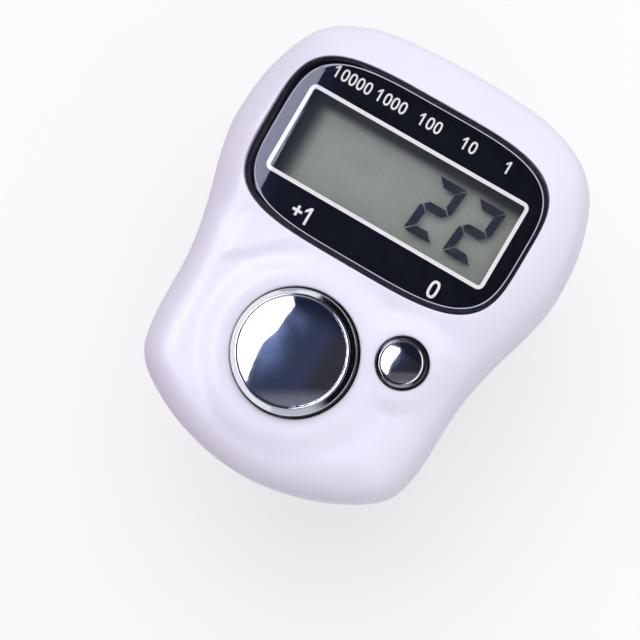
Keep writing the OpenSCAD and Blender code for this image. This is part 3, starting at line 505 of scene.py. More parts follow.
def fill_plate(bm, outer, holes, height=None):
    """Faces between a ring and the rings of its holes. With a height function, it has inner points too."""
    rings = [outer, *holes]
    loops = [np.array([v.co[:2] for v in ring]) for ring in rings]
    verts = [v for ring in rings for v in ring]
    points = np.vstack(loops)
    if height:
        row_gap, clearance = 0.866 * FACE_SPACING, 0.55 * FACE_SPACING
        low, high = loops[0].min(0), loops[0].max(0)
        rows = np.arange(low[1], high[1], row_gap)
        columns = np.arange(low[0], high[0], FACE_SPACING)
        grid = np.array([(x + FACE_SPACING / 2 * (row % 2), y)
                         for row, y in enumerate(rows) for x in columns])
        grid = grid[in_plate(grid, loops)]
        near = np.array([np.min(np.hypot(*(points - p).T)) for p in grid])
        grid = grid[near > clearance]
        verts += [bm.verts.new((x, y, z)) for (x, y), z in zip(grid, height(grid[:, 0], grid[:, 1]))]
        points = np.vstack([points, grid])
    edges, start = [], 0
    for loop in loops:
        edges += [(start + i, start + (i + 1) % len(loop)) for i in range(len(loop))]
        start += len(loop)
    spots, _, triangles, sources, *_ = delaunay_2d_cdt([Vector(p) for p in points / MM], edges, [], 0, 1e-6)
    triangles = np.array(triangles)
    middles = (np.array([tuple(spot) for spot in spots]) * MM)[triangles].mean(1)
    for triangle in triangles[in_plate(middles, loops)]:
        bm.faces.new([verts[sources[i][0]] for i in triangle])


def lathe(bm, profile, centre, count=CIRCLE_POINTS):
    """Turns a closed profile of (radius, height) points round a vertical axis."""
    turns = np.linspace(0, 2 * math.pi, count, endpoint=False)
    rings = []
    for radius, height in profile:
        # A point on the axis stays one point
        rings.append([
            bm.verts.new((centre[0] + radius * math.cos(turn), centre[1] + radius * math.sin(turn), height))
            for turn in (turns if radius else turns[:1])])
    faces = []
    for first, second in zip(rings, rings[1:] + rings[:1]):
        if len(first) == 1 and len(second) == 1:
            continue
        for i in range(count):
            corners = [first[i % len(first)], first[(i + 1) % len(first)], second[(i + 1) % len(second)],
                       second[i % len(second)]]
            faces.append(bm.faces.new(list(dict.fromkeys(corners))))
    return faces


def arc(centre, radius, start, end, steps):
    """(radius, height) points of an arc, between two angles in degrees."""
    turns = [math.radians(start + (end - start) * i / steps) for i in range(steps + 1)]
    return [(centre[0] + radius * math.cos(t), centre[1] + radius * math.sin(t)) for t in turns]


def link_object(name, bm):
    """The mesh as a new object in the scene."""
    mesh = bpy.data.meshes.new(name)
    bm.to_mesh(mesh)
    bm.free()
    item = bpy.data.objects.new(name, mesh)
    bpy.context.scene.collection.objects.link(item)
    return item


def finish_piece(name, bm, materials, body, nodes, sharp=32):
    """Makes the mesh an object that rides on its body, stands for its CAD nodes and takes its finish."""
    bmesh.ops.recalc_face_normals(bm, faces=bm.faces)
    piece = link_object(name, bm)
    for material in materials:
        piece.data.materials.append(material)
    piece.data.shade_smooth()
    piece.data.set_sharp_from_angle(angle=math.radians(sharp))
    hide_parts(*nodes)
    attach(piece, body)
    return piece


def copy_of(node):
    """The CAD node's mesh as a new bmesh with its doubled corners joined."""
    bm = bmesh.new()
    bm.from_mesh(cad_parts[node].data)
    bmesh.ops.remove_doubles(bm, verts=bm.verts, dist=0.002 * MM)
    bmesh.ops.dissolve_limit(bm, angle_limit=math.radians(1), verts=bm.verts, edges=bm.edges)
    return bm


def add_bevel(piece, width, segments=2):
    """Rounds the edges that are sharper than 40 degrees."""
    bevel = piece.modifiers.new("Moulded edges", "BEVEL")
    bevel.width, bevel.segments = width, segments
    bevel.limit_method, bevel.angle_limit = "ANGLE", math.radians(40)
    bevel.harden_normals = False


def dress(node, material, bevel_mm=0):
    """Gives a CAD node its finish, and narrow rounded edges where a width is given."""
    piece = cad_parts[node]
    piece.data.materials.clear()
    piece.data.materials.append(material)
    if bevel_mm:
        add_bevel(piece, bevel_mm * MM)


def rounded_copy(name, node, material, body, bevel_mm):
    """A soft piece in the shape of its CAD node, with rounded edges."""
    add_bevel(finish_piece(name, copy_of(node), [material], body, [node]), bevel_mm * MM, segments=3)


# Shape of the casing, by the same rules as the frame's source

def plan_of(node):
    """Middle and half widths of a CAD node's box, in plan."""
    low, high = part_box(node)
    return ((low.x + high.x) / 2, (low.y + high.y) / 2), ((high.x - low.x) / 2, (high.y - low.y) / 2)


class CaseShape:
    """Plan, levels and relief of the casing, from the frame's boxes and the casing's sizes"""

    def __init__(self, sizes, buttons, display):
        self.sizes = sizes
        self.half_width, self.half_length = plan_of("front_case")[1]
        self.part_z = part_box("rear_case")[1].z - LIP_HEIGHT
        lens_low, lens_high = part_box("display_lens")
        self.lens_centre, self.lens_half = plan_of("display_lens")
        self.lens_z = lens_low.z
        self.lens_rim_z = lens_high.z - display.lens_crown
        self.count_place, (count_half, _) = plan_of("count_button")
        self.reset_place, (reset_half, _) = plan_of("reset_button")
        self.count_radius = count_half - buttons.flange_margin
        self.reset_radius = reset_half - buttons.flange_margin
        self.face_z = (self.lens_rim_z + sizes.lens_sink - sizes.shelf_rise
                       - sizes.crown_rise * self.crown_share(*self.lens_centre))
        self.edge_z = self.face_z - sizes.edge_height
        self.ceiling_z = self.face_z - sizes.wall
        self.ledge_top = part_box("lens_tape")[0].z
        self.edge = self.outline()
        self.side = inset(self.edge, sizes.side_draft)
        self.rim = evened(inset(self.edge, sizes.edge_round), RIM_ROUNDS)

    def crown_share(self, x, y):
        """Crown of the face: 1 in the middle, 0 at the sides."""
        return (1 - (x / self.half_width) ** 2) * (1 - (y / self.half_length) ** 2)

    def collar_share(self, x, y, place, flat_radius, fall):
        """Collar round a button: 1 on its flat top, 0 where it has fallen to the face."""
        return ease((flat_radius + fall - np.hypot(x - place[0], y - place[1])) / fall)

    def shelf_share(self, x, y):
        """Shelf round the lens with its neck, which ends at the dish round the buttons."""
        sizes, lens_y, half = self.sizes, self.lens_centre[1], self.lens_half[1]
        outside = (oval_size(x, y - lens_y, self.lens_half[0], half, LENS_POWER) - 1) * half
        round_lens = ease((sizes.shelf_margin + sizes.shelf_fall - outside) / sizes.lens_fall)
        # The neck falls off more softly at its right
        side_fall = sizes.shelf_fall * mix(1.1, 2.4, ease(x / sizes.neck_half_width))
        side = ease((sizes.neck_half_width + sizes.shelf_fall - np.abs(x)) / side_fall)
        dish_height = self.count_radius + sizes.gap + sizes.dish_reach
        count_y = self.count_place[1]
        dish_size = oval_size(x, y - count_y + sizes.dish_shift, sizes.neck_half_width + sizes.dish_margin,
                              dish_height, DISH_POWER)
        crease = mix(sizes.crease, sizes.crease_end, ease(1 + x / sizes.neck_half_width))
        dish = ease((dish_size - 1) * dish_height / crease)
        below = dish * ease((y - count_y) / sizes.shelf_fall) * ease((lens_y - y) / sizes.shelf_fall)
        corner_y = lens_y - half - 2 * sizes.shelf_margin
        away = np.hypot(x + sizes.neck_half_width, y - corner_y) / sizes.corner_reach
        return np.maximum(round_lens, side * below * (1 - sizes.corner_drop * ease(1 - away)))

    def relief(self, x, y):
        """Height of the crown, the shelf and the collars over the plain face."""
        sizes = self.sizes
        small = self.collar_share(x, y, self.reset_place, self.reset_radius + sizes.gap
                                  + sizes.collar_margin / 2, sizes.small_collar_fall)
        large = self.collar_share(x, y, self.count_place, self.count_radius + sizes.gap
                                  + sizes.collar_margin, sizes.collar_fall)
        low = mix(sizes.shelf_rise * self.shelf_share(x, y), sizes.small_collar_rise, small)
        return sizes.crown_rise * self.crown_share(x, y) + mix(low, sizes.collar_rise, large)

    def edge_part(self, x, y):
        """How far in over the rounded edge points lie: 0 at the side, 1 from the rim inwards."""
        spots = np.c_[x, y]
        part = np.ones(len(spots))
        outer = ~inside(spots, self.rim)
        spot = spots[outer][:, None]
        side, rim = self.side, self.rim
        next_side, next_rim = np.roll(side, -1, 0), np.roll(rim, -1, 0)
        before, after = cross(spot - side, rim - side), cross(spot - next_side, next_rim - next_side)
        share = before / (before - after)
        foot = side + (next_side - side) * share[..., None]
        way = rim + (next_rim - rim) * share[..., None] - foot
        along = ((spot - foot) * way).sum(-1) / (way ** 2).sum(-1)
        over = 0.2
        found = (share >= 0) & (share <= 1) & (along > -over) & (along < 1 + over)
        part[outer] = np.clip(np.where(found, along, 1).min(1), 0, 1)
        return part

    def height(self, x, y):
        """Height of the casing's skin."""
        part = self.edge_part(x, y)
        return (self.edge_z + self.sizes.edge_height * np.sqrt(1 - (1 - part) ** 2)
                + self.relief(x, y) * ease(part))

    def outline(self):
        """Closed smooth curve through the outline's points, run anticlockwise."""
        shares = np.array(OUTLINE_SHARES, float)
        right = shares[::-1] * (self.half_width, self.half_length)
        left = shares[1:-1] * (-self.half_width, self.half_length)
        here = np.vstack([right, left])
        before, after, later = (np.roll(here, step, 0) for step in (1, -1, -2))
        slope, bend = after - before, 2 * before - 5 * here + 4 * after - later
        twist = 3 * here - before - 3 * after + later
        runs = [here + (slope * part + bend * part ** 2 + twist * part ** 3) / 2
                for part in np.arange(OUTLINE_STEPS) / OUTLINE_STEPS]
        return np.stack(runs, 1).reshape(-1, 2)


def inset(points, distance):
    """The closed run of points drawn in along its own normals."""
    run = np.roll(points, -1, 0) - np.roll(points, 1, 0)
    run /= np.linalg.norm(run, axis=1)[:, None]
    return points + distance * np.c_[-run[:, 1], run[:, 0]]


def evened(points, rounds):
    """The closed run of points, smoothed this many times."""
    for _ in range(rounds):
        points = (np.roll(points, 1, 0) + 2 * points + np.roll(points, -1, 0)) / 4
    return points


def case_shape(scene):
    """The casing's shape at the sizes that are set."""
    return CaseShape(scene.tally_casing, scene.tally_buttons, scene.tally_display)


def rounded_lip(bm, outline, radius, face_height):
    """First and last ring of a moulded edge that turns from the face down into a hole with this outline."""
    start = outline(radius)
    level = face_height(start[:, 0], start[:, 1])
    rings = []
    for turn in np.linspace(0, math.pi / 2, 6):
        points = outline(radius * (1 - math.sin(turn)))
        rings.append(add_ring(bm, points, level - radius * (1 - math.cos(turn))))
    join_all(bm, rings)
    return rings[0], rings[-1]


def wall_down(bm, ring, points, height):
    """Wall from a ring to a new one at this height."""
    lower = add_ring(bm, points, height)
    join_rings(bm, ring, lower)
    return lower


class TALLY_OT_front_case(Operator):
    """Front casing: one smooth skin with its shelf, neck, collars, recess and holes"""
    bl_idname = "tally.front_case"
    bl_label = "Front casing"

    def execute(self, context):
        sizes, tints = context.scene.tally_casing, context.scene.tally_colours
        shape = case_shape(context.scene)
        bm = bmesh.new()
        edge, seam = shape.edge, sizes.seam
        skin = [add_ring(bm, inset(edge, seam), shape.part_z), add_ring(bm, edge, shape.part_z + seam)]
        # Rings up to where the lens recess may begin, and one plate from there on
        plate_turn, turns = math.radians(55), 11
        for turn in np.linspace(0, plate_turn, turns):
            part = 1 - math.cos(turn)
            plan = shape.side + (shape.rim - shape.side) * part
            rise = shape.relief(plan[:, 0], plan[:, 1]) * ease(part)
            skin.append(add_ring(bm, plan, shape.edge_z + sizes.edge_height * math.sin(turn) + rise))
        join_all(bm, skin)

        lens_x, lens_y = shape.lens_half

        def lens_outline(grow):
            return oval(lens_x + sizes.gap + grow, lens_y + sizes.gap + grow, LENS_POWER, shape.lens_centre)

        def count_outline(grow):
            return circle(shape.count_place, shape.count_radius + sizes.gap + grow)

        def reset_outline(grow):
            return circle(shape.reset_place, shape.reset_radius + sizes.gap + grow, CIRCLE_POINTS // 2)

        lips = [rounded_lip(bm, outline, radius, shape.height) for outline, radius in (
            (lens_outline, sizes.recess_round), (count_outline, sizes.hole_round),
            (reset_outline, sizes.hole_round))]
        fill_plate(bm, skin[-1], [lip[0] for lip in lips], shape.height)

        # Lens recess, its ledge with the window opening, and the ledge's underside
        ledge_ring = wall_down(bm, lips[0][1], lens_outline(0), shape.ledge_top)
        window = rounded_rect(*plan_of("window_line")[1], sizes.window_corner, shape.lens_centre)
        window_top = add_ring(bm, window, shape.ledge_top)
        fill_plate(bm, ledge_ring, [window_top])
        ledge_low = shape.ledge_top - sizes.ledge
        window_low = add_ring(bm, window, ledge_low)
        # The window's wall takes material 1, black ink as painted shade
        for face in join_rings(bm, window_top, window_low):
            face.material_index = 1
        ceiling_plan = inset(edge, sizes.wall + sizes.cavity_step)
        frame_plan = kept_inside(lens_outline(sizes.wall / 2), inset(ceiling_plan, 1.6 * HAIR),
                                 shape.lens_centre)
        under = add_ring(bm, frame_plan, ledge_low)
        fill_plate(bm, under, [window_low])
        frame_ring = wall_down(bm, under, frame_plan, shape.ceiling_z)

        # Button holes, the ceiling, and the wall's inner steps down to the parting line
        count_ring = wall_down(bm, lips[1][1], count_outline(0), shape.ceiling_z)
        reset_ring = wall_down(bm, lips[2][1], reset_outline(0), shape.ceiling_z)
        ceiling = add_ring(bm, ceiling_plan, shape.ceiling_z)
        fill_plate(bm, ceiling, [frame_ring, count_ring, reset_ring])
        step_z = shape.edge_z + sizes.wall / 2
        upper = wall_down(bm, ceiling, ceiling_plan, step_z)
        lower = add_ring(bm, inset(edge, sizes.wall), step_z)
        join_rings(bm, upper, lower)
        bottom = wall_down(bm, lower, inset(edge, sizes.wall), shape.part_z)
        join_rings(bm, bottom, skin[0])
        for place, radius, foot in self.posts():
            self.add_post(bm, shape.ceiling_z, place, radius, foot)
        plastic = moulded_abs("glossy_moulded_abs", tints.casing, 0.46, 0.2)
        # The window's wall is given the mask's black ink, so it sends no light onto the display: painted shade
        # that deepens the display's edges and shows dark where the wall is seen
        wall = plain_finish("window_wall_painted_shade", tints.mask, shade(tints.mask, 1.5), 1.0, 0.6)
        finish_piece("front_casing", bm, [plastic, wall], CASE, ["front_case"], 28)
        return {"FINISHED"}

    @staticmethod
    def posts():
        """(place, radius, foot level) of the screw posts, under the heads of the screws that they take."""
        found = []
        board_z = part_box("circuit_board")[0].z
        for node, radius, foot in (("case_screws", 1.5 * MM, board_z - 0.4 * MM),
                                   ("board_screws", 1.15 * MM, board_z + 0.8 * MM)):
            points = np.array([v.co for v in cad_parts[node].data.vertices])
            top = points[points[:, 2] > points[:, 2].max() - 0.01 * MM]
            found += [(place, radius, foot) for place in spots_of(top)]
        return found

    @staticmethod
    def add_post(bm, ceiling, place, radius, foot):
        """A screw post as a closed tube that grows out of the ceiling."""
        top, bore = ceiling + 0.3 * MM, 0.45 * radius
        profile = [(0, top), (radius, top), (radius, foot), (bore, foot), (bore, ceiling), (0, ceiling)]
        lathe(bm, profile, place, 32)


def spots_of(points):
    """Middles of the groups that points form in plan, with 2 mm or more between groups."""
    groups = []
    for x, y, _ in points:
        for group in groups:
            if math.hypot(group[0][0] - x, group[0][1] - y) < 2 * MM:
                group.append((x, y))
                break
        else:
            groups.append([(x, y)])
    return [tuple(np.array([np.min(g, 0), np.max(g, 0)]).mean(0)) for g in groups]


class TALLY_OT_rear_case(Operator):
    """Rear casing and battery door, in the same plastic as the front"""
    bl_idname = "tally.rear_case"
    bl_label = "Rear casing and door"

    def execute(self, context):
        tints = context.scene.tally_colours
        plastic = moulded_abs("satin_moulded_abs", tints.rear, 0.42, 0.12)
        for node, bevel in (("rear_case", 0.1), ("battery_door", 0.08)):
            rounded_copy(node + "_moulding", node, plastic, CASE, bevel)
        return {"FINISHED"}


class TALLY_OT_screws(Operator):
    """Cross-head screws of the case, the door and the board"""
    bl_idname = "tally.screws"
    bl_label = "Screws"

    def execute(self, context):
        # Zinc plate is a cool grey, and yellow passivation gives the board's screws a pale brassy tone
        zinc = turned_metal("zinc_plated_steel", linear("#B9BCC4"), 0.28, 0.24)
        brass = turned_metal("yellow_passivated_steel", linear("#C8B277"), 0.32, 0.24)
        dress("case_screws", zinc, 0.06)
        dress("door_screw", zinc, 0.05)
        dress("board_screws", brass, 0.05)
        return {"FINISHED"}


class TALLY_OT_lens(Operator):
    """Clear lens with a bevelled rim and a face that rolls off near its edge"""
    bl_idname = "tally.lens"
    bl_label = "Lens"

    def execute(self, context):
        display, tints = context.scene.tally_display, context.scene.tally_colours
        shape = case_shape(context.scene)
        bm = bmesh.new()
        half_x, half_y = shape.lens_half
        middle, bevel, painted_highlight_width = np.array(shape.lens_centre), display.lens_bevel, display.painted_highlight_width
        rim_z, rise = shape.lens_rim_z - display.rim_drop, display.lens_crown + display.rim_drop

        def outline(ends, sides):
            """The lens's outline, drawn in by these widths at its ends and its long sides."""
            return oval(half_x - ends, half_y - sides, LENS_POWER, shape.lens_centre)

        # It stands a tenth of a hair off the ink behind it, so that no two faces share a plane
        foot, lens_z = 0.08 * MM, shape.lens_z + 0.1 * HAIR

        def crown(points, drop=0.0):
            """Height of the polished face, which is flat across and rolls off towards its two ends."""
            across, along = (points - middle).T
            part = np.abs(across + display.crown_skew * along) / (half_x - bevel)
            return rim_z + rise * (1 - part ** display.crown_power) - drop

        # The bevel is wider at the left than at the right
        shift = np.array((display.bevel_shift, 0))
        ledge = outline(bevel, display.side_bevel) + shift
        inner = outline(bevel + painted_highlight_width, display.side_bevel + painted_highlight_width) + shift
        side = outline(0, 0)
        rings = [add_ring(bm, points, height) for points, height in (
            (outline(foot, foot), lens_z), (side, lens_z + foot), (side, crown(ledge, display.bevel_drop)),
            (ledge, crown(ledge, 0.02 * MM)), (inner, crown(inner)))]
        # The face's rings are closer together where it rolls off
        for part in (0.985, 0.96, 0.93, 0.9, 0.86, 0.82, 0.77, 0.7, 0.6, 0.45, 0.25):
            points = middle + (inner - middle) * part
            rings.append(add_ring(bm, points, crown(points)))
        # Inked side, clear bevel, a pale line of painted highlight, and from there on the clear face
        join_all(bm, rings, (2, 2, 0, 1))
        fill_ring(bm, rings[-1], (*middle, rim_z + rise))
        fill_ring(bm, rings[0], (*middle, lens_z))
        # A pale matt line where bevel and face meet: a painted highlight along the bevel's inner edge
        matt = plain_finish("painted_highlight_acrylic_edge", linear("#C9CBD8"), linear("#B9BBCB"), 1.0, 0.45,
                            grain_mm=0.05)
        # The ink of the mask wraps the lens's side
        ink = plain_finish("lens_side_ink", tints.mask, shade(tints.mask, 1.4), 1.0, 0.5)
        finish_piece("display_lens_clear", bm, [clear_acrylic("polished_acrylic"), matt, ink], CASE,
                     ["display_lens"], 16)
        return {"FINISHED"}


class TALLY_OT_prints(Operator):
    """Printed mask, white line and figures behind the lens, and the tape that holds the lens"""
    bl_idname = "tally.prints"
    bl_label = "Prints and tape"

    def execute(self, context):
        tints = context.scene.tally_colours
        # Screen-printed ink on the back of the lens: dense, with a faint unevenness of the pulled ink
        # It's bonded to the lens, so it has no shine of its own
        dull = {"Specular IOR Level": 0.0}
        ink = plain_finish("screen_ink_black", tints.mask, shade(tints.mask, 1.5), 1.2, 0.5,
                           grain_mm=0.15, **dull)
        white = plain_finish("screen_ink_white", tints.white_ink, shade(tints.white_ink, 0.95), 0.8, 0.5,
                             grain_mm=0.12, **dull)
        # Black foam tape: dull, with an even grain
        tape = plain_finish("double_sided_tape", linear("#2B2B30"), linear("#35353B"), 1.0, 0.7, grain_mm=0.2)
        dress("lens_mask", ink)
        dress("window_line", white)
        dress("lens_numbers", white)
        dress("lens_tape", tape)
        return {"FINISHED"}


class TALLY_OT_display(Operator):
    """Display glass with its films, the segments, the frame and the contact rubber"""
    bl_idname = "tally.display"
    bl_label = "Display"

    def execute(self, context):
        tints = context.scene.tally_colours
        film = display_film("satin_polariser", tints.polariser, 0.1)
        # Float glass, green at its cut edges
        edge = plain_finish("float_glass_edge", linear("#9FB8AC"), linear("#8CA89B"), 0.8, 0.12)
        foil = reflector_foil("reflector_foil_painted_edge_shade", tints.reflector, *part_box("window_line"))
        dress("lcd_reflector", foil)
        # The layers are bonded with no air between them, so only the outer faces mirror: one closed laminate
        # that ends on the foil's adhesive side
        bm = bmesh.new()
        nodes = ("lcd_rear_glass", "lcd_front_glass", "lcd_polariser")
        rings = []
        for low, high in (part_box(node) for node in nodes):
            foot = low.z if rings else low.z + 0.08 * HAIR
            rings += [add_ring(bm, rect(low, high), level) for level in (foot, high.z)]
        # The glass's cut edges up to the film's foot, then the film
        join_all(bm, rings, (1, 1, 1, 1))
        bm.faces.new(rings[0]).material_index = 2
        bm.faces.new(rings[-1])
        bmesh.ops.remove_doubles(bm, verts=bm.verts, dist=0.001 * MM)
        finish_piece("display_cell", bm, [film, edge, foil], CASE, nodes)
        # Crystal that blocks the light: deep blue-black and matt
        dress("lcd_segments", plain_finish("dark_crystal", tints.digits, shade(tints.digits, 1.4), 0.6, 0.6))
        # Plain white polystyrene, glossier than the casing
        dress("lcd_frame", moulded_abs("white_polystyrene", linear("#C9C9C6"), 0.35, 0.0), 0.05)
        # Clear and carbon-filled silicone in turns: a dull old pink
        stripes = plain_finish("striped_silicone", linear("#C9818F"), linear("#8E5560"), 0.3, 0.6)
        rounded_copy("contact_rubber", "zebra_connector", stripes, CASE, 0.08)
        return {"FINISHED"}


class TALLY_OT_buttons(Operator):
    """Count and reset button: chromed domes with a rim and a fine groove"""
    bl_idname = "tally.buttons"
    bl_label = "Buttons"

    def execute(self, context):
        sizes, tints = context.scene.tally_buttons, context.scene.tally_colours
        chrome = plated_chrome("bright_chrome_plate", tints.chrome, 0.035, 0.07)
        # Nearly black chrome with a soft gleam on the side, the shoulder and the line below the bead: painted
        # shade of the hole and the groove
        dark = plated_chrome("painted_shade_chrome_plate", tints.painted_shade_chrome, 0.22, 0.34)
        # The small button's chrome is darker, warmer and a little rougher: a softer, smokier mirror
        thin = plated_chrome("darker_chrome_plate", tints.darker_chrome, 0.1, 0.14)
        shape = case_shape(context.scene)
        for key, place, radius, body, plate in (
                ("count", shape.count_place, shape.count_radius, COUNT_KEY, chrome),
                ("reset", shape.reset_place, shape.reset_radius, RESET_KEY, thin)):
            bm = bmesh.new()
            profile, painted_shade_rows = self.profile(key, radius, sizes, shape.ceiling_z - HAIR)
            # Rows of painted shade take the nearly black chrome
            for index, face in enumerate(lathe(bm, profile, place, BUTTON_POINTS)):
                face.material_index = 1 if index // BUTTON_POINTS in painted_shade_rows else 0
            finish_piece(key + "_button_chrome", bm, [plate, dark], body, [key + "_button"],
                         30)
        return {"FINISHED"}

    @staticmethod
    def profile(key, radius, sizes, flange):
        """Closed profile round the stem, the skirt, the side, the cone and the bead, and over the dome."""
        low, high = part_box(key + "_button")
        rim_height, dome, bead, cone = (
            getattr(sizes, f"{key}_{part}") for part in ("rim", "dome", "bead", "cone"))
        groove = 0.5 * bead
        top_z = high.z - dome + groove
        base_z = top_z - rim_height
        shoulder = radius - sizes.shoulder
        cone_top = shoulder - cone
        bead_middle = cone_top - bead
        dome_radius = bead_middle - bead - groove
        ball = (dome_radius ** 2 + dome ** 2) / (2 * dome)
        stem = radius * sizes.stem
        stem_z = (low.z + flange) / 2
        inner, outer = radius - sizes.wall, radius + sizes.flange_margin
        profile = [(0, stem_z), (stem, stem_z), (stem, base_z), (inner, base_z), (inner, low.z),
                   (outer, low.z), (outer, flange), (radius, flange), (radius, base_z - HAIR),
                   (radius - 0.4 * HAIR, base_z + 0.8 * HAIR)]
        side_start = len(profile) - 3
        # A small round shoulder, then the cone at the given slope
        foot_z, cone_z = top_z - 0.6 * bead - cone * sizes.slope, top_z - 0.75 * bead
        profile.append((shoulder, foot_z - 0.6 * HAIR))
        side_end = len(profile) - 1
        profile += [(mix(shoulder, cone_top, part), mix(foot_z, cone_z, part))
                    for part in (0.03, 0.1, 0.9, 1)]
        # A line of painted shade parts the cone from the bead
        line_start = len(profile) - 1
        profile.append((cone_top - 0.6 * HAIR, cone_z - 0.4 * HAIR))
        profile += arc((bead_middle, top_z - bead), bead, 30, 168, 12)
        profile += arc((dome_radius + groove * 0.5, top_z - bead * 0.95), groove * 0.5, 10, -170, 6)
        for turn in np.linspace(math.asin(dome_radius / ball), 0, 27):
            profile.append((ball * math.sin(turn), high.z - ball + ball * math.cos(turn)))
        return profile, (*range(side_start, side_end), line_start, line_start + 1)


class TALLY_OT_keypad(Operator):
    """Silicone keypad: sheet, thin webs, plungers and their carbon pills"""
    bl_idname = "tally.keypad"
    bl_label = "Keypad"

    def execute(self, context):
        tints = context.scene.tally_colours
        # Moulded silicone: dull and a little waxy, with dust in its grain
        rubber = plain_finish("moulded_silicone", tints.rubber, shade(tints.rubber, 0.9), 1.4, 0.6, ior=1.41,
                              grain_mm=0.2, **{"Sheen Weight": 0.15})
        # Carbon-filled rubber: black, with a faint shine
        pill = plain_finish("carbon_rubber", linear("#1D1D20"), linear("#2A2A2E"), 0.5, 0.55, grain_mm=0.1)
        rounded_copy("keypad_mat", "keypad_sheet", rubber, CASE, 0.06)
        for key, body in (("count", COUNT_KEY), ("reset", RESET_KEY)):
            rounded_copy(f"{key}_plunger_rubber", f"{key}_plunger", rubber, body, 0.05)
            rounded_copy(f"{key}_pill_carbon", f"{key}_pill", pill, body, 0.03)
            web = finish_piece(f"{key}_web_rubber", copy_of(f"{key}_web"), [rubber], CASE, [f"{key}_web"])
            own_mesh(web)
        return {"FINISHED"}


class TALLY_OT_board(Operator):
    """Circuit board with its pads, chip cover, crystal, resistors and capacitors"""
    bl_idname = "tally.board"
    bl_label = "Board"

    def execute(self, context):
        tints = context.scene.tally_colours
        dress("circuit_board", solder_mask("green_solder_mask", tints.board), 0.04)
        dress("crystal_can", turned_metal("drawn_nickel_silver", linear("#C6C8CC"), 0.25, 0.6), 0.08)
        # Dull printed carbon, glossy black epoxy, glazed black resistors and fired tan capacitors
        for node, name, base, other, patch_mm, roughness, bevel in (
                ("contact_pads", "printed_carbon", "#26262A", "#33333A", 0.4, 0.5, 0),
                ("chip_cover", "poured_epoxy", "#121215", "#1B1B20", 1.0, 0.28, 0),
                ("board_resistors", "glazed_ceramic_black", "#1E1E23", "#2C2C33", 0.5, 0.3, 0.04),
                ("board_capacitors", "fired_ceramic_tan", "#AF8A5C", "#9B7647", 0.6, 0.45, 0.05)):
            dress(node, plain_finish(name, linear(base), linear(other), patch_mm, roughness), bevel)
        return {"FINISHED"}


class TALLY_OT_power(Operator):
    """Button cell and its contacts"""
    bl_idname = "tally.power"
    bl_label = "Cell and contacts"

    def execute(self, context):
        # Nickel is a soft grey, the cap's is polished, and a gold flash makes the contacts pale yellow
        nickel = turned_metal("nickel_plated_steel", linear("#C9CBCE"), 0.22, 0.3)
        bright = turned_metal("polished_nickel", linear("#D8D9DB"), 0.16, 0.2)
        bronze = turned_metal("gold_flashed_bronze", linear("#D9C58A"), 0.24, 0.4)
        dress("cell_can", nickel, 0.1)
        dress("cell_cap", bright, 0.08)
        dress("cell_seal", plain_finish("moulded_nylon", linear("#2A3550"), linear("#1E2740"), 0.6, 0.45))
        dress("positive_contact", bronze, 0.03)
        dress("negative_contact", bronze, 0.03)
        return {"FINISHED"}


def straight(across, start, end, count):
    """Points of a band's straight run, with the near ones at its start that round the band's end."""
    sign = math.copysign(1, end - start)
    near = [start, start + sign * 0.12 * MM, start + sign * 0.4 * MM]
    return [(across, z) for z in (*near, *np.linspace(start, end, count)[2:])]


def sweep_band(bm, path, width, thickness, edge):
    """A flat band along its middle line in the YZ plane, with rounded long edges and ends."""
    half_t = thickness / 2
    across, out = rounded_rect(width / 2, half_t, edge, steps=4).T
    path = np.array(path)
    run = np.gradient(path, axis=0)
    run /= np.linalg.norm(run, axis=1)[:, None]
    # The last two sections at each end are slimmer
    slim = {0: 0.55, 1: 0.85, len(path) - 2: 0.85, len(path) - 1: 0.55}
    rings = []
    for index, (spot, way) in enumerate(zip(path, run)):
        share = slim.get(index, 1.0)
        xs = np.copysign(np.abs(across) - half_t * (1 - share), across)
        ys, zs = spot[0] - way[1] * out * share, spot[1] + way[0] * out * share
        rings.append([bm.verts.new(place) for place in zip(xs, ys, zs)])
    join_all(bm, rings)
    bm.faces.new(rings[0])
    bm.faces.new(rings[-1])


def drill(piece, holes, radius, length):
    """Drills holes of this radius through the piece, each given as its middle and its direction."""
    bm = bmesh.new()
    for spot, direction in holes:
        turn = Vector(direction).to_track_quat("Z", "Y").to_matrix().to_4x4()
        bmesh.ops.create_cone(bm, cap_ends=True, segments=40, radius1=radius, radius2=radius, depth=length,
                              matrix=Matrix.Translation(spot) @ turn)
    cutter = link_object("cutter", bm)
    boolean = piece.modifiers.new("Holes", "BOOLEAN")
    boolean.operation, boolean.solver, boolean.object = "DIFFERENCE", "EXACT", cutter
    bpy.context.view_layer.update()
    drilled = piece.evaluated_get(bpy.context.evaluated_depsgraph_get())
    piece.data = bpy.data.meshes.new_from_object(drilled)
    piece.modifiers.remove(boolean)
    bpy.data.objects.remove(cutter)


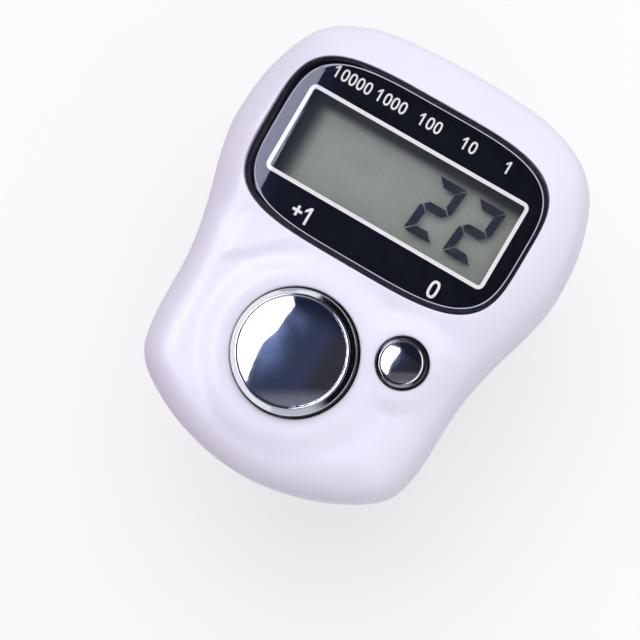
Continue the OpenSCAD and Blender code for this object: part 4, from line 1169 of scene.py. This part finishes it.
class TALLY_OT_strap(Operator):
    """Soft finger strap: the band with holes, and the band with the two studs that close it"""
    bl_idname = "tally.strap"
    bl_label = "Strap"

    def execute(self, context):
        sizes, tints = context.scene.tally_strap, context.scene.tally_colours
        # Moulded soft vinyl: matt, slightly uneven from its blasted mould, with a faint sheen along its edges
        vinyl = plain_finish("soft_moulded_vinyl", tints.strap, shade(tints.strap, 0.93), 3.0, 0.5, ior=1.52,
                             grain_mm=0.35, depth_mm=0.012, **{
                                 "Sheen Weight": 0.1, "Subsurface Weight": 0.15,
                                 "Subsurface Radius": (1, 0.9, 0.9), "Subsurface Scale": 0.8 * MM})
        low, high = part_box("strap_hole_band")
        stud_low, stud_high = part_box("strap_stud_band")
        thickness, pitch, half_t = sizes.thickness, sizes.hole_pitch, sizes.thickness / 2
        width = high.x - low.x
        radius = sizes.bend_radius + half_t
        left, right = low.y + half_t, high.y - half_t - ANCHOR_REACH
        bend_z = half_t + radius
        tail_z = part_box("rear_case")[0].z - BAND_TAIL
        anchor_z = high.z - ANCHOR_HEIGHT

        def bend(middle_y, start):
            """A quarter turn of the band's middle line."""
            return [(middle_y + radius * math.cos(turn), bend_z + radius * math.sin(turn))
                    for turn in np.linspace(start, start + math.pi / 2, 40)]

        path = straight(left, tail_z, bend_z, 30)[:-1] + bend(left + radius, math.pi)
        path += [(y, half_t) for y in np.linspace(left + radius, right - radius, 8)[1:-1]]
        path += bend(right - radius, 1.5 * math.pi)
        path += [(right, z) for z in np.linspace(bend_z, anchor_z, 30)[1:]]
        bm = bmesh.new()
        sweep_band(bm, path, width, thickness, sizes.edge_round)
        self.add_anchor(bm, right, width, anchor_z, high.z, half_t)
        piece = finish_piece("strap_with_holes", bm, [vinyl], CASE, ["strap_hole_band"], 35)
        # Two holes in the straight run take the studs, and the others follow round the bend
        stud_levels = [tail_z - pitch * (TAIL_HOLE_SHARE + i) for i in range(STUD_COUNT)]
        holes = [(Vector((0, left, level)), (0, 1, 0)) for level in stud_levels]
        for i in range(3):
            turn = math.pi + (i + 0.4) * pitch / radius
            way = Vector((0, math.cos(turn), math.sin(turn)))
            holes.append((Vector((0, left + radius, bend_z)) + way * radius, way))
        drill(piece, holes, sizes.stud_radius + 2 * HAIR, 3 * thickness)
        piece.data.set_sharp_from_angle(angle=math.radians(35))

        bm = bmesh.new()
        middle = stud_high.y - ANCHOR_REACH - half_t
        sweep_band(bm, straight(middle, stud_low.z, anchor_z, 24), width, thickness, sizes.edge_round)
        self.add_anchor(bm, middle, width, anchor_z, stud_high.z, half_t)
        for level in stud_levels:
            self.add_stud(bm, middle, middle - stud_low.y, level, sizes.stud_radius)
        finish_piece("strap_with_studs", bm, [vinyl], CASE, ["strap_stud_band"], 35)
        return {"FINISHED"}

    @staticmethod
    def add_anchor(bm, middle, width, bottom, top, half_t):
        """The moulded bar that holds the band inside the case, seen only with the case open."""
        verts = bmesh.ops.create_cube(bm, size=1)["verts"]
        bmesh.ops.scale(bm, vec=(width, 2 * (half_t + ANCHOR_REACH), top - bottom), verts=verts)
        bmesh.ops.translate(bm, vec=(0, middle, (top + bottom) / 2), verts=verts)
        edges = list(dict.fromkeys(edge for vert in verts for edge in vert.link_edges))
        bmesh.ops.bevel(bm, geom=edges, offset=0.15 * MM, segments=2, affect="EDGES", profile=0.5)

    @staticmethod
    def add_stud(bm, root, reach, level, radius):
        """A mushroom stud that points out along -Y from the band's middle."""
        head, neck_end = radius + STUD_HEAD_MARGIN, reach - STUD_HEAD_HEIGHT
        low_round, high_round = 0.16 * MM, 0.3 * MM
        profile = [(0, 0), (radius, 0), (radius, neck_end), (head - 0.1 * MM, neck_end)]
        profile += arc((head - low_round, neck_end + low_round), low_round, -60, 0, 3)
        profile += arc((head - high_round, reach - high_round), high_round, 0, 80, 5)
        profile += [(head * 0.5, reach - 0.4 * HAIR), (0, reach)]
        before = set(bm.verts)
        lathe(bm, profile, (0, 0), 48)
        made = [vert for vert in bm.verts if vert not in before]
        to_side = Matrix.Translation((0, root, level)) @ Matrix.Rotation(math.pi / 2, 4, "X")
        bmesh.ops.transform(bm, matrix=to_side, verts=made)


# Stage

# Turns of the view in degrees, the camera's distance, its shift in the picture, and its viewing angle
CAMERA_LEAN = {"x": 0.35, "y": -10.3, "z": -30.53}
CAMERA_DISTANCE = 190 * MM
CAMERA_SHIFT = (2.07 * MM, 4.19 * MM)
CAMERA_VIEW = 15.18
# How far over the face the camera is aimed
CAMERA_AIM_RISE = 0.3 * MM
FLOOR_HALF = 3.0
ROOM_RADIUS = 1.6


class TALLY_OT_stage(Operator):
    """Pale floor, a softbox over the head of the case, what the mirrors see, and the camera"""
    bl_idname = "tally.stage"
    bl_label = "Stage"

    def execute(self, context):
        self.floor()
        self.lamp(context.scene)
        self.sky(context.scene)
        self.dark_room()
        self.camera(context.scene)
        context.scene.view_settings.view_transform = "Standard"
        return {"FINISHED"}

    @staticmethod
    def floor():
        """Matt pale paper, lifted to white for the camera and the mirrors, with the shadow on it."""
        material, tree, _ = new_material("white_paper_floor")
        paper = add_node(tree, "BsdfDiffuse", {"Color": linear("#AAAAAC")})
        dim = add_node(tree, "BsdfDiffuse", {"Color": linear("#ADADAF")})
        lift = add_node(tree, "Emission", {"Color": linear("#FFFFFF"), "Strength": 0.56})
        lifted = add_node(tree, "AddShader", (dim, lift))
        rays = add_node(tree, "LightPath").outputs
        seen = rays["Is Camera Ray"]
        for ray in ("Is Glossy Ray", "Is Transmission Ray"):
            seen = add_node(tree, "Math", (seen, rays[ray]), operation="MAXIMUM")
        add_node(tree, "OutputMaterial", [add_node(tree, "MixShader", (seen, paper, lifted))])
        bm = bmesh.new()
        bmesh.ops.create_grid(bm, x_segments=1, y_segments=1, size=FLOOR_HALF)
        plane = link_object("floor", bm)
        plane.data.materials.append(material)

    @staticmethod
    def lamp(scene):
        """A softbox over the head of the case. Mirrors see the dark room's softbox in its place."""
        toward, lean, reach = Vector((-0.3, 0.95)), math.radians(26), 0.9
        across, along, glow = 0.9, 0.6, 2.1
        data = bpy.data.lights.new("head_softbox", "AREA")
        data.shape = "RECTANGLE"
        data.size, data.size_y = across, along
        data.color = linear("#FFFEFD")[:3]
        data.energy = glow * math.pi * across * along
        lamp = bpy.data.objects.new("head_softbox", data)
        lamp.location = (*(reach * math.sin(lean) * toward), reach * math.cos(lean))
        lamp.rotation_euler = Vector(lamp.location).to_track_quat("Z", "Y").to_euler()
        lamp.visible_glossy = False
        scene.collection.objects.link(lamp)

    @staticmethod
    def sky(scene):
        """A lavender sky, warmer and dimmer low at the foot's left. The camera sees it as white."""
        world = bpy.data.worlds.new("studio")
        world.use_nodes = True
        tree = world.node_tree
        tree.nodes.clear()
        way = add_node(tree, "TexCoord").outputs["Generated"]
        from_foot = add_node(tree, "VectorMath", (way, (0.85, 0.53, 0.0)), operation="DOT_PRODUCT")
        share = within(tree, (from_foot, -0.95, 0.4))
        tint = add_node(tree, "Mix", (share, linear("#A28195"), linear("#FCFDFF")), data_type="RGBA")
        sky = add_node(tree, "Background", {"Color": tint, "Strength": 0.9})
        backdrop = add_node(tree, "Background", {"Color": linear("#FFFFFF"), "Strength": 1.0})
        seen = add_node(tree, "LightPath").outputs["Is Camera Ray"]
        out = add_node(tree, "OutputWorld", [add_node(tree, "MixShader", (seen, sky, backdrop))])
        out.is_active_output = True
        scene.world = world

    @staticmethod
    def dark_room():
        """What mirrors see: the softbox, a haze beside it, a navy to plum room and a pale wall in front."""
        material, tree, place = new_material("dark_studio")
        x, y, z = add_node(tree, "SeparateXYZ", [place]).outputs
        # Slopes towards the left and the head, as seen from the object
        up = add_node(tree, "Math", (z, 0.02), operation="MAXIMUM")
        left = add_node(tree, "Math", (add_node(tree, "Math", (x, -1.0), operation="MULTIPLY"), up),
                        operation="DIVIDE")
        head = add_node(tree, "Math", (y, up), operation="DIVIDE")
        wall = add_node(tree, "VectorMath", (place, (0.48, -0.88, 0.0)), operation="DOT_PRODUCT")
        front = add_node(tree, "VectorMath", (place, (0.3, -0.95, 0.0)), operation="DOT_PRODUCT")
        cloud = add_node(tree, "TexNoise", {"Vector": place, "Scale": 4.0, "Detail": 1.5})
        room = linear("#384058")
        for code, *ramps in (
                # Plum at the right and navy at the head
                ("#37363F", (left, 0.0, -0.2)),
                ("#1B2237", (head, 0.25, 0.5)),
                # Haze beside the softbox
                ("#7688BB", (left, 0.1, 0.4), (head, 0.42, 0.2), (head, -0.6, 0.0), (cloud, 0.2, 0.75)),
                # Pale wall low at the front, soft at its upper edge
                ("#777986", (wall, 0.26, 0.42)),
                ("#C4C5CE", (wall, 0.55, 0.85)),
                # Near the horizon it is dark, but for the very front
                ("#101014", (z, 0.5, 0.3), (front, 0.95, 0.7))):
            room = add_node(tree, "Mix", (within(tree, *ramps), room, linear(code)), data_type="RGBA")
        # The softbox ends at the head, and its inner edge bends outwards there and towards the front
        inner = left
        for start, end, bend in ((0.12, -0.15, 0.07), (0.38, 0.52, 0.12)):
            outwards = add_node(tree, "MapRange", (head, start, end, 0.0, bend),
                                interpolation_type="SMOOTHSTEP")
            inner = add_node(tree, "Math", (inner, outwards), operation="SUBTRACT")
        softbox = within(tree, (inner, 0.42, 0.44), (left, 1.46, 1.4), (head, 0.54, 0.5),
                         (head, -0.95, -0.85))
        wall_glow = add_node(tree, "Emission", {"Color": room, "Strength": 1.0})
        box_glow = add_node(tree, "Emission", {"Color": linear("#ECEEFF"), "Strength": 7.5})
        add_node(tree, "OutputMaterial", [add_node(tree, "MixShader", (softbox, wall_glow, box_glow))])
        bm = bmesh.new()
        bmesh.ops.create_uvsphere(bm, u_segments=48, v_segments=24, radius=1.0)
        dome = link_object("dark_room", bm)
        dome.data.materials.append(material)
        dome.scale = (ROOM_RADIUS, ROOM_RADIUS, ROOM_RADIUS)
        for ray in ("camera", "diffuse", "transmission", "volume_scatter", "shadow"):
            setattr(dome, "visible_" + ray, False)

    @staticmethod
    def camera(scene):
        """At the photograph's viewing angle, over the face."""
        lean = {axis: math.radians(turn) for axis, turn in CAMERA_LEAN.items()}
        to_view = (Matrix.Rotation(lean["z"], 3, "Z") @ Matrix.Rotation(lean["y"], 3, "Y")
                   @ Matrix.Rotation(lean["x"], 3, "X"))
        data = bpy.data.cameras.new("camera")
        data.sensor_width = 36
        data.angle = math.radians(CAMERA_VIEW)
        data.clip_start, data.clip_end = 0.005, 20
        view = bpy.data.objects.new("camera", data)
        aim = Vector((0, 0, case_shape(scene).face_z + CAMERA_AIM_RISE))
        back = to_view.transposed()
        away = back @ Vector((*CAMERA_SHIFT, -CAMERA_DISTANCE))
        view.matrix_world = Matrix.Translation(aim - away) @ back.to_4x4()
        scene.collection.objects.link(view)
        scene.camera = view


OPERATORS = (
    TALLY_OT_stage, TALLY_OT_front_case, TALLY_OT_rear_case, TALLY_OT_screws, TALLY_OT_lens, TALLY_OT_prints,
    TALLY_OT_display, TALLY_OT_buttons, TALLY_OT_keypad, TALLY_OT_board, TALLY_OT_power, TALLY_OT_strap)


class TALLY_PT_counter(Panel):
    """Sizes, colours and steps of the tally counter"""
    bl_idname = "TALLY_PT_counter"
    bl_label = "Tally counter"
    bl_space_type = "VIEW_3D"
    bl_region_type = "UI"
    bl_category = "Tally counter"

    def draw(self, context):
        for operator in OPERATORS:
            self.layout.operator(operator.bl_idname)
        for name, group in GROUPS.items():
            box = self.layout.box()
            box.label(text=group.__doc__)
            for setting in group.__annotations__:
                box.prop(getattr(context.scene, name), setting)


CLASSES = (*GROUPS.values(), *OPERATORS, TALLY_PT_counter)


def register():
    for item in CLASSES:
        bpy.utils.register_class(item)
    for name, group in GROUPS.items():
        setattr(bpy.types.Scene, name, PointerProperty(type=group))


def unregister():
    for name in GROUPS:
        delattr(bpy.types.Scene, name)
    for item in reversed(CLASSES):
        bpy.utils.unregister_class(item)


def main():
    register()
    for operator in OPERATORS:
        group, name = operator.bl_idname.split(".")
        getattr(getattr(bpy.ops, group), name)()


if __name__ == "__main__":
    main()
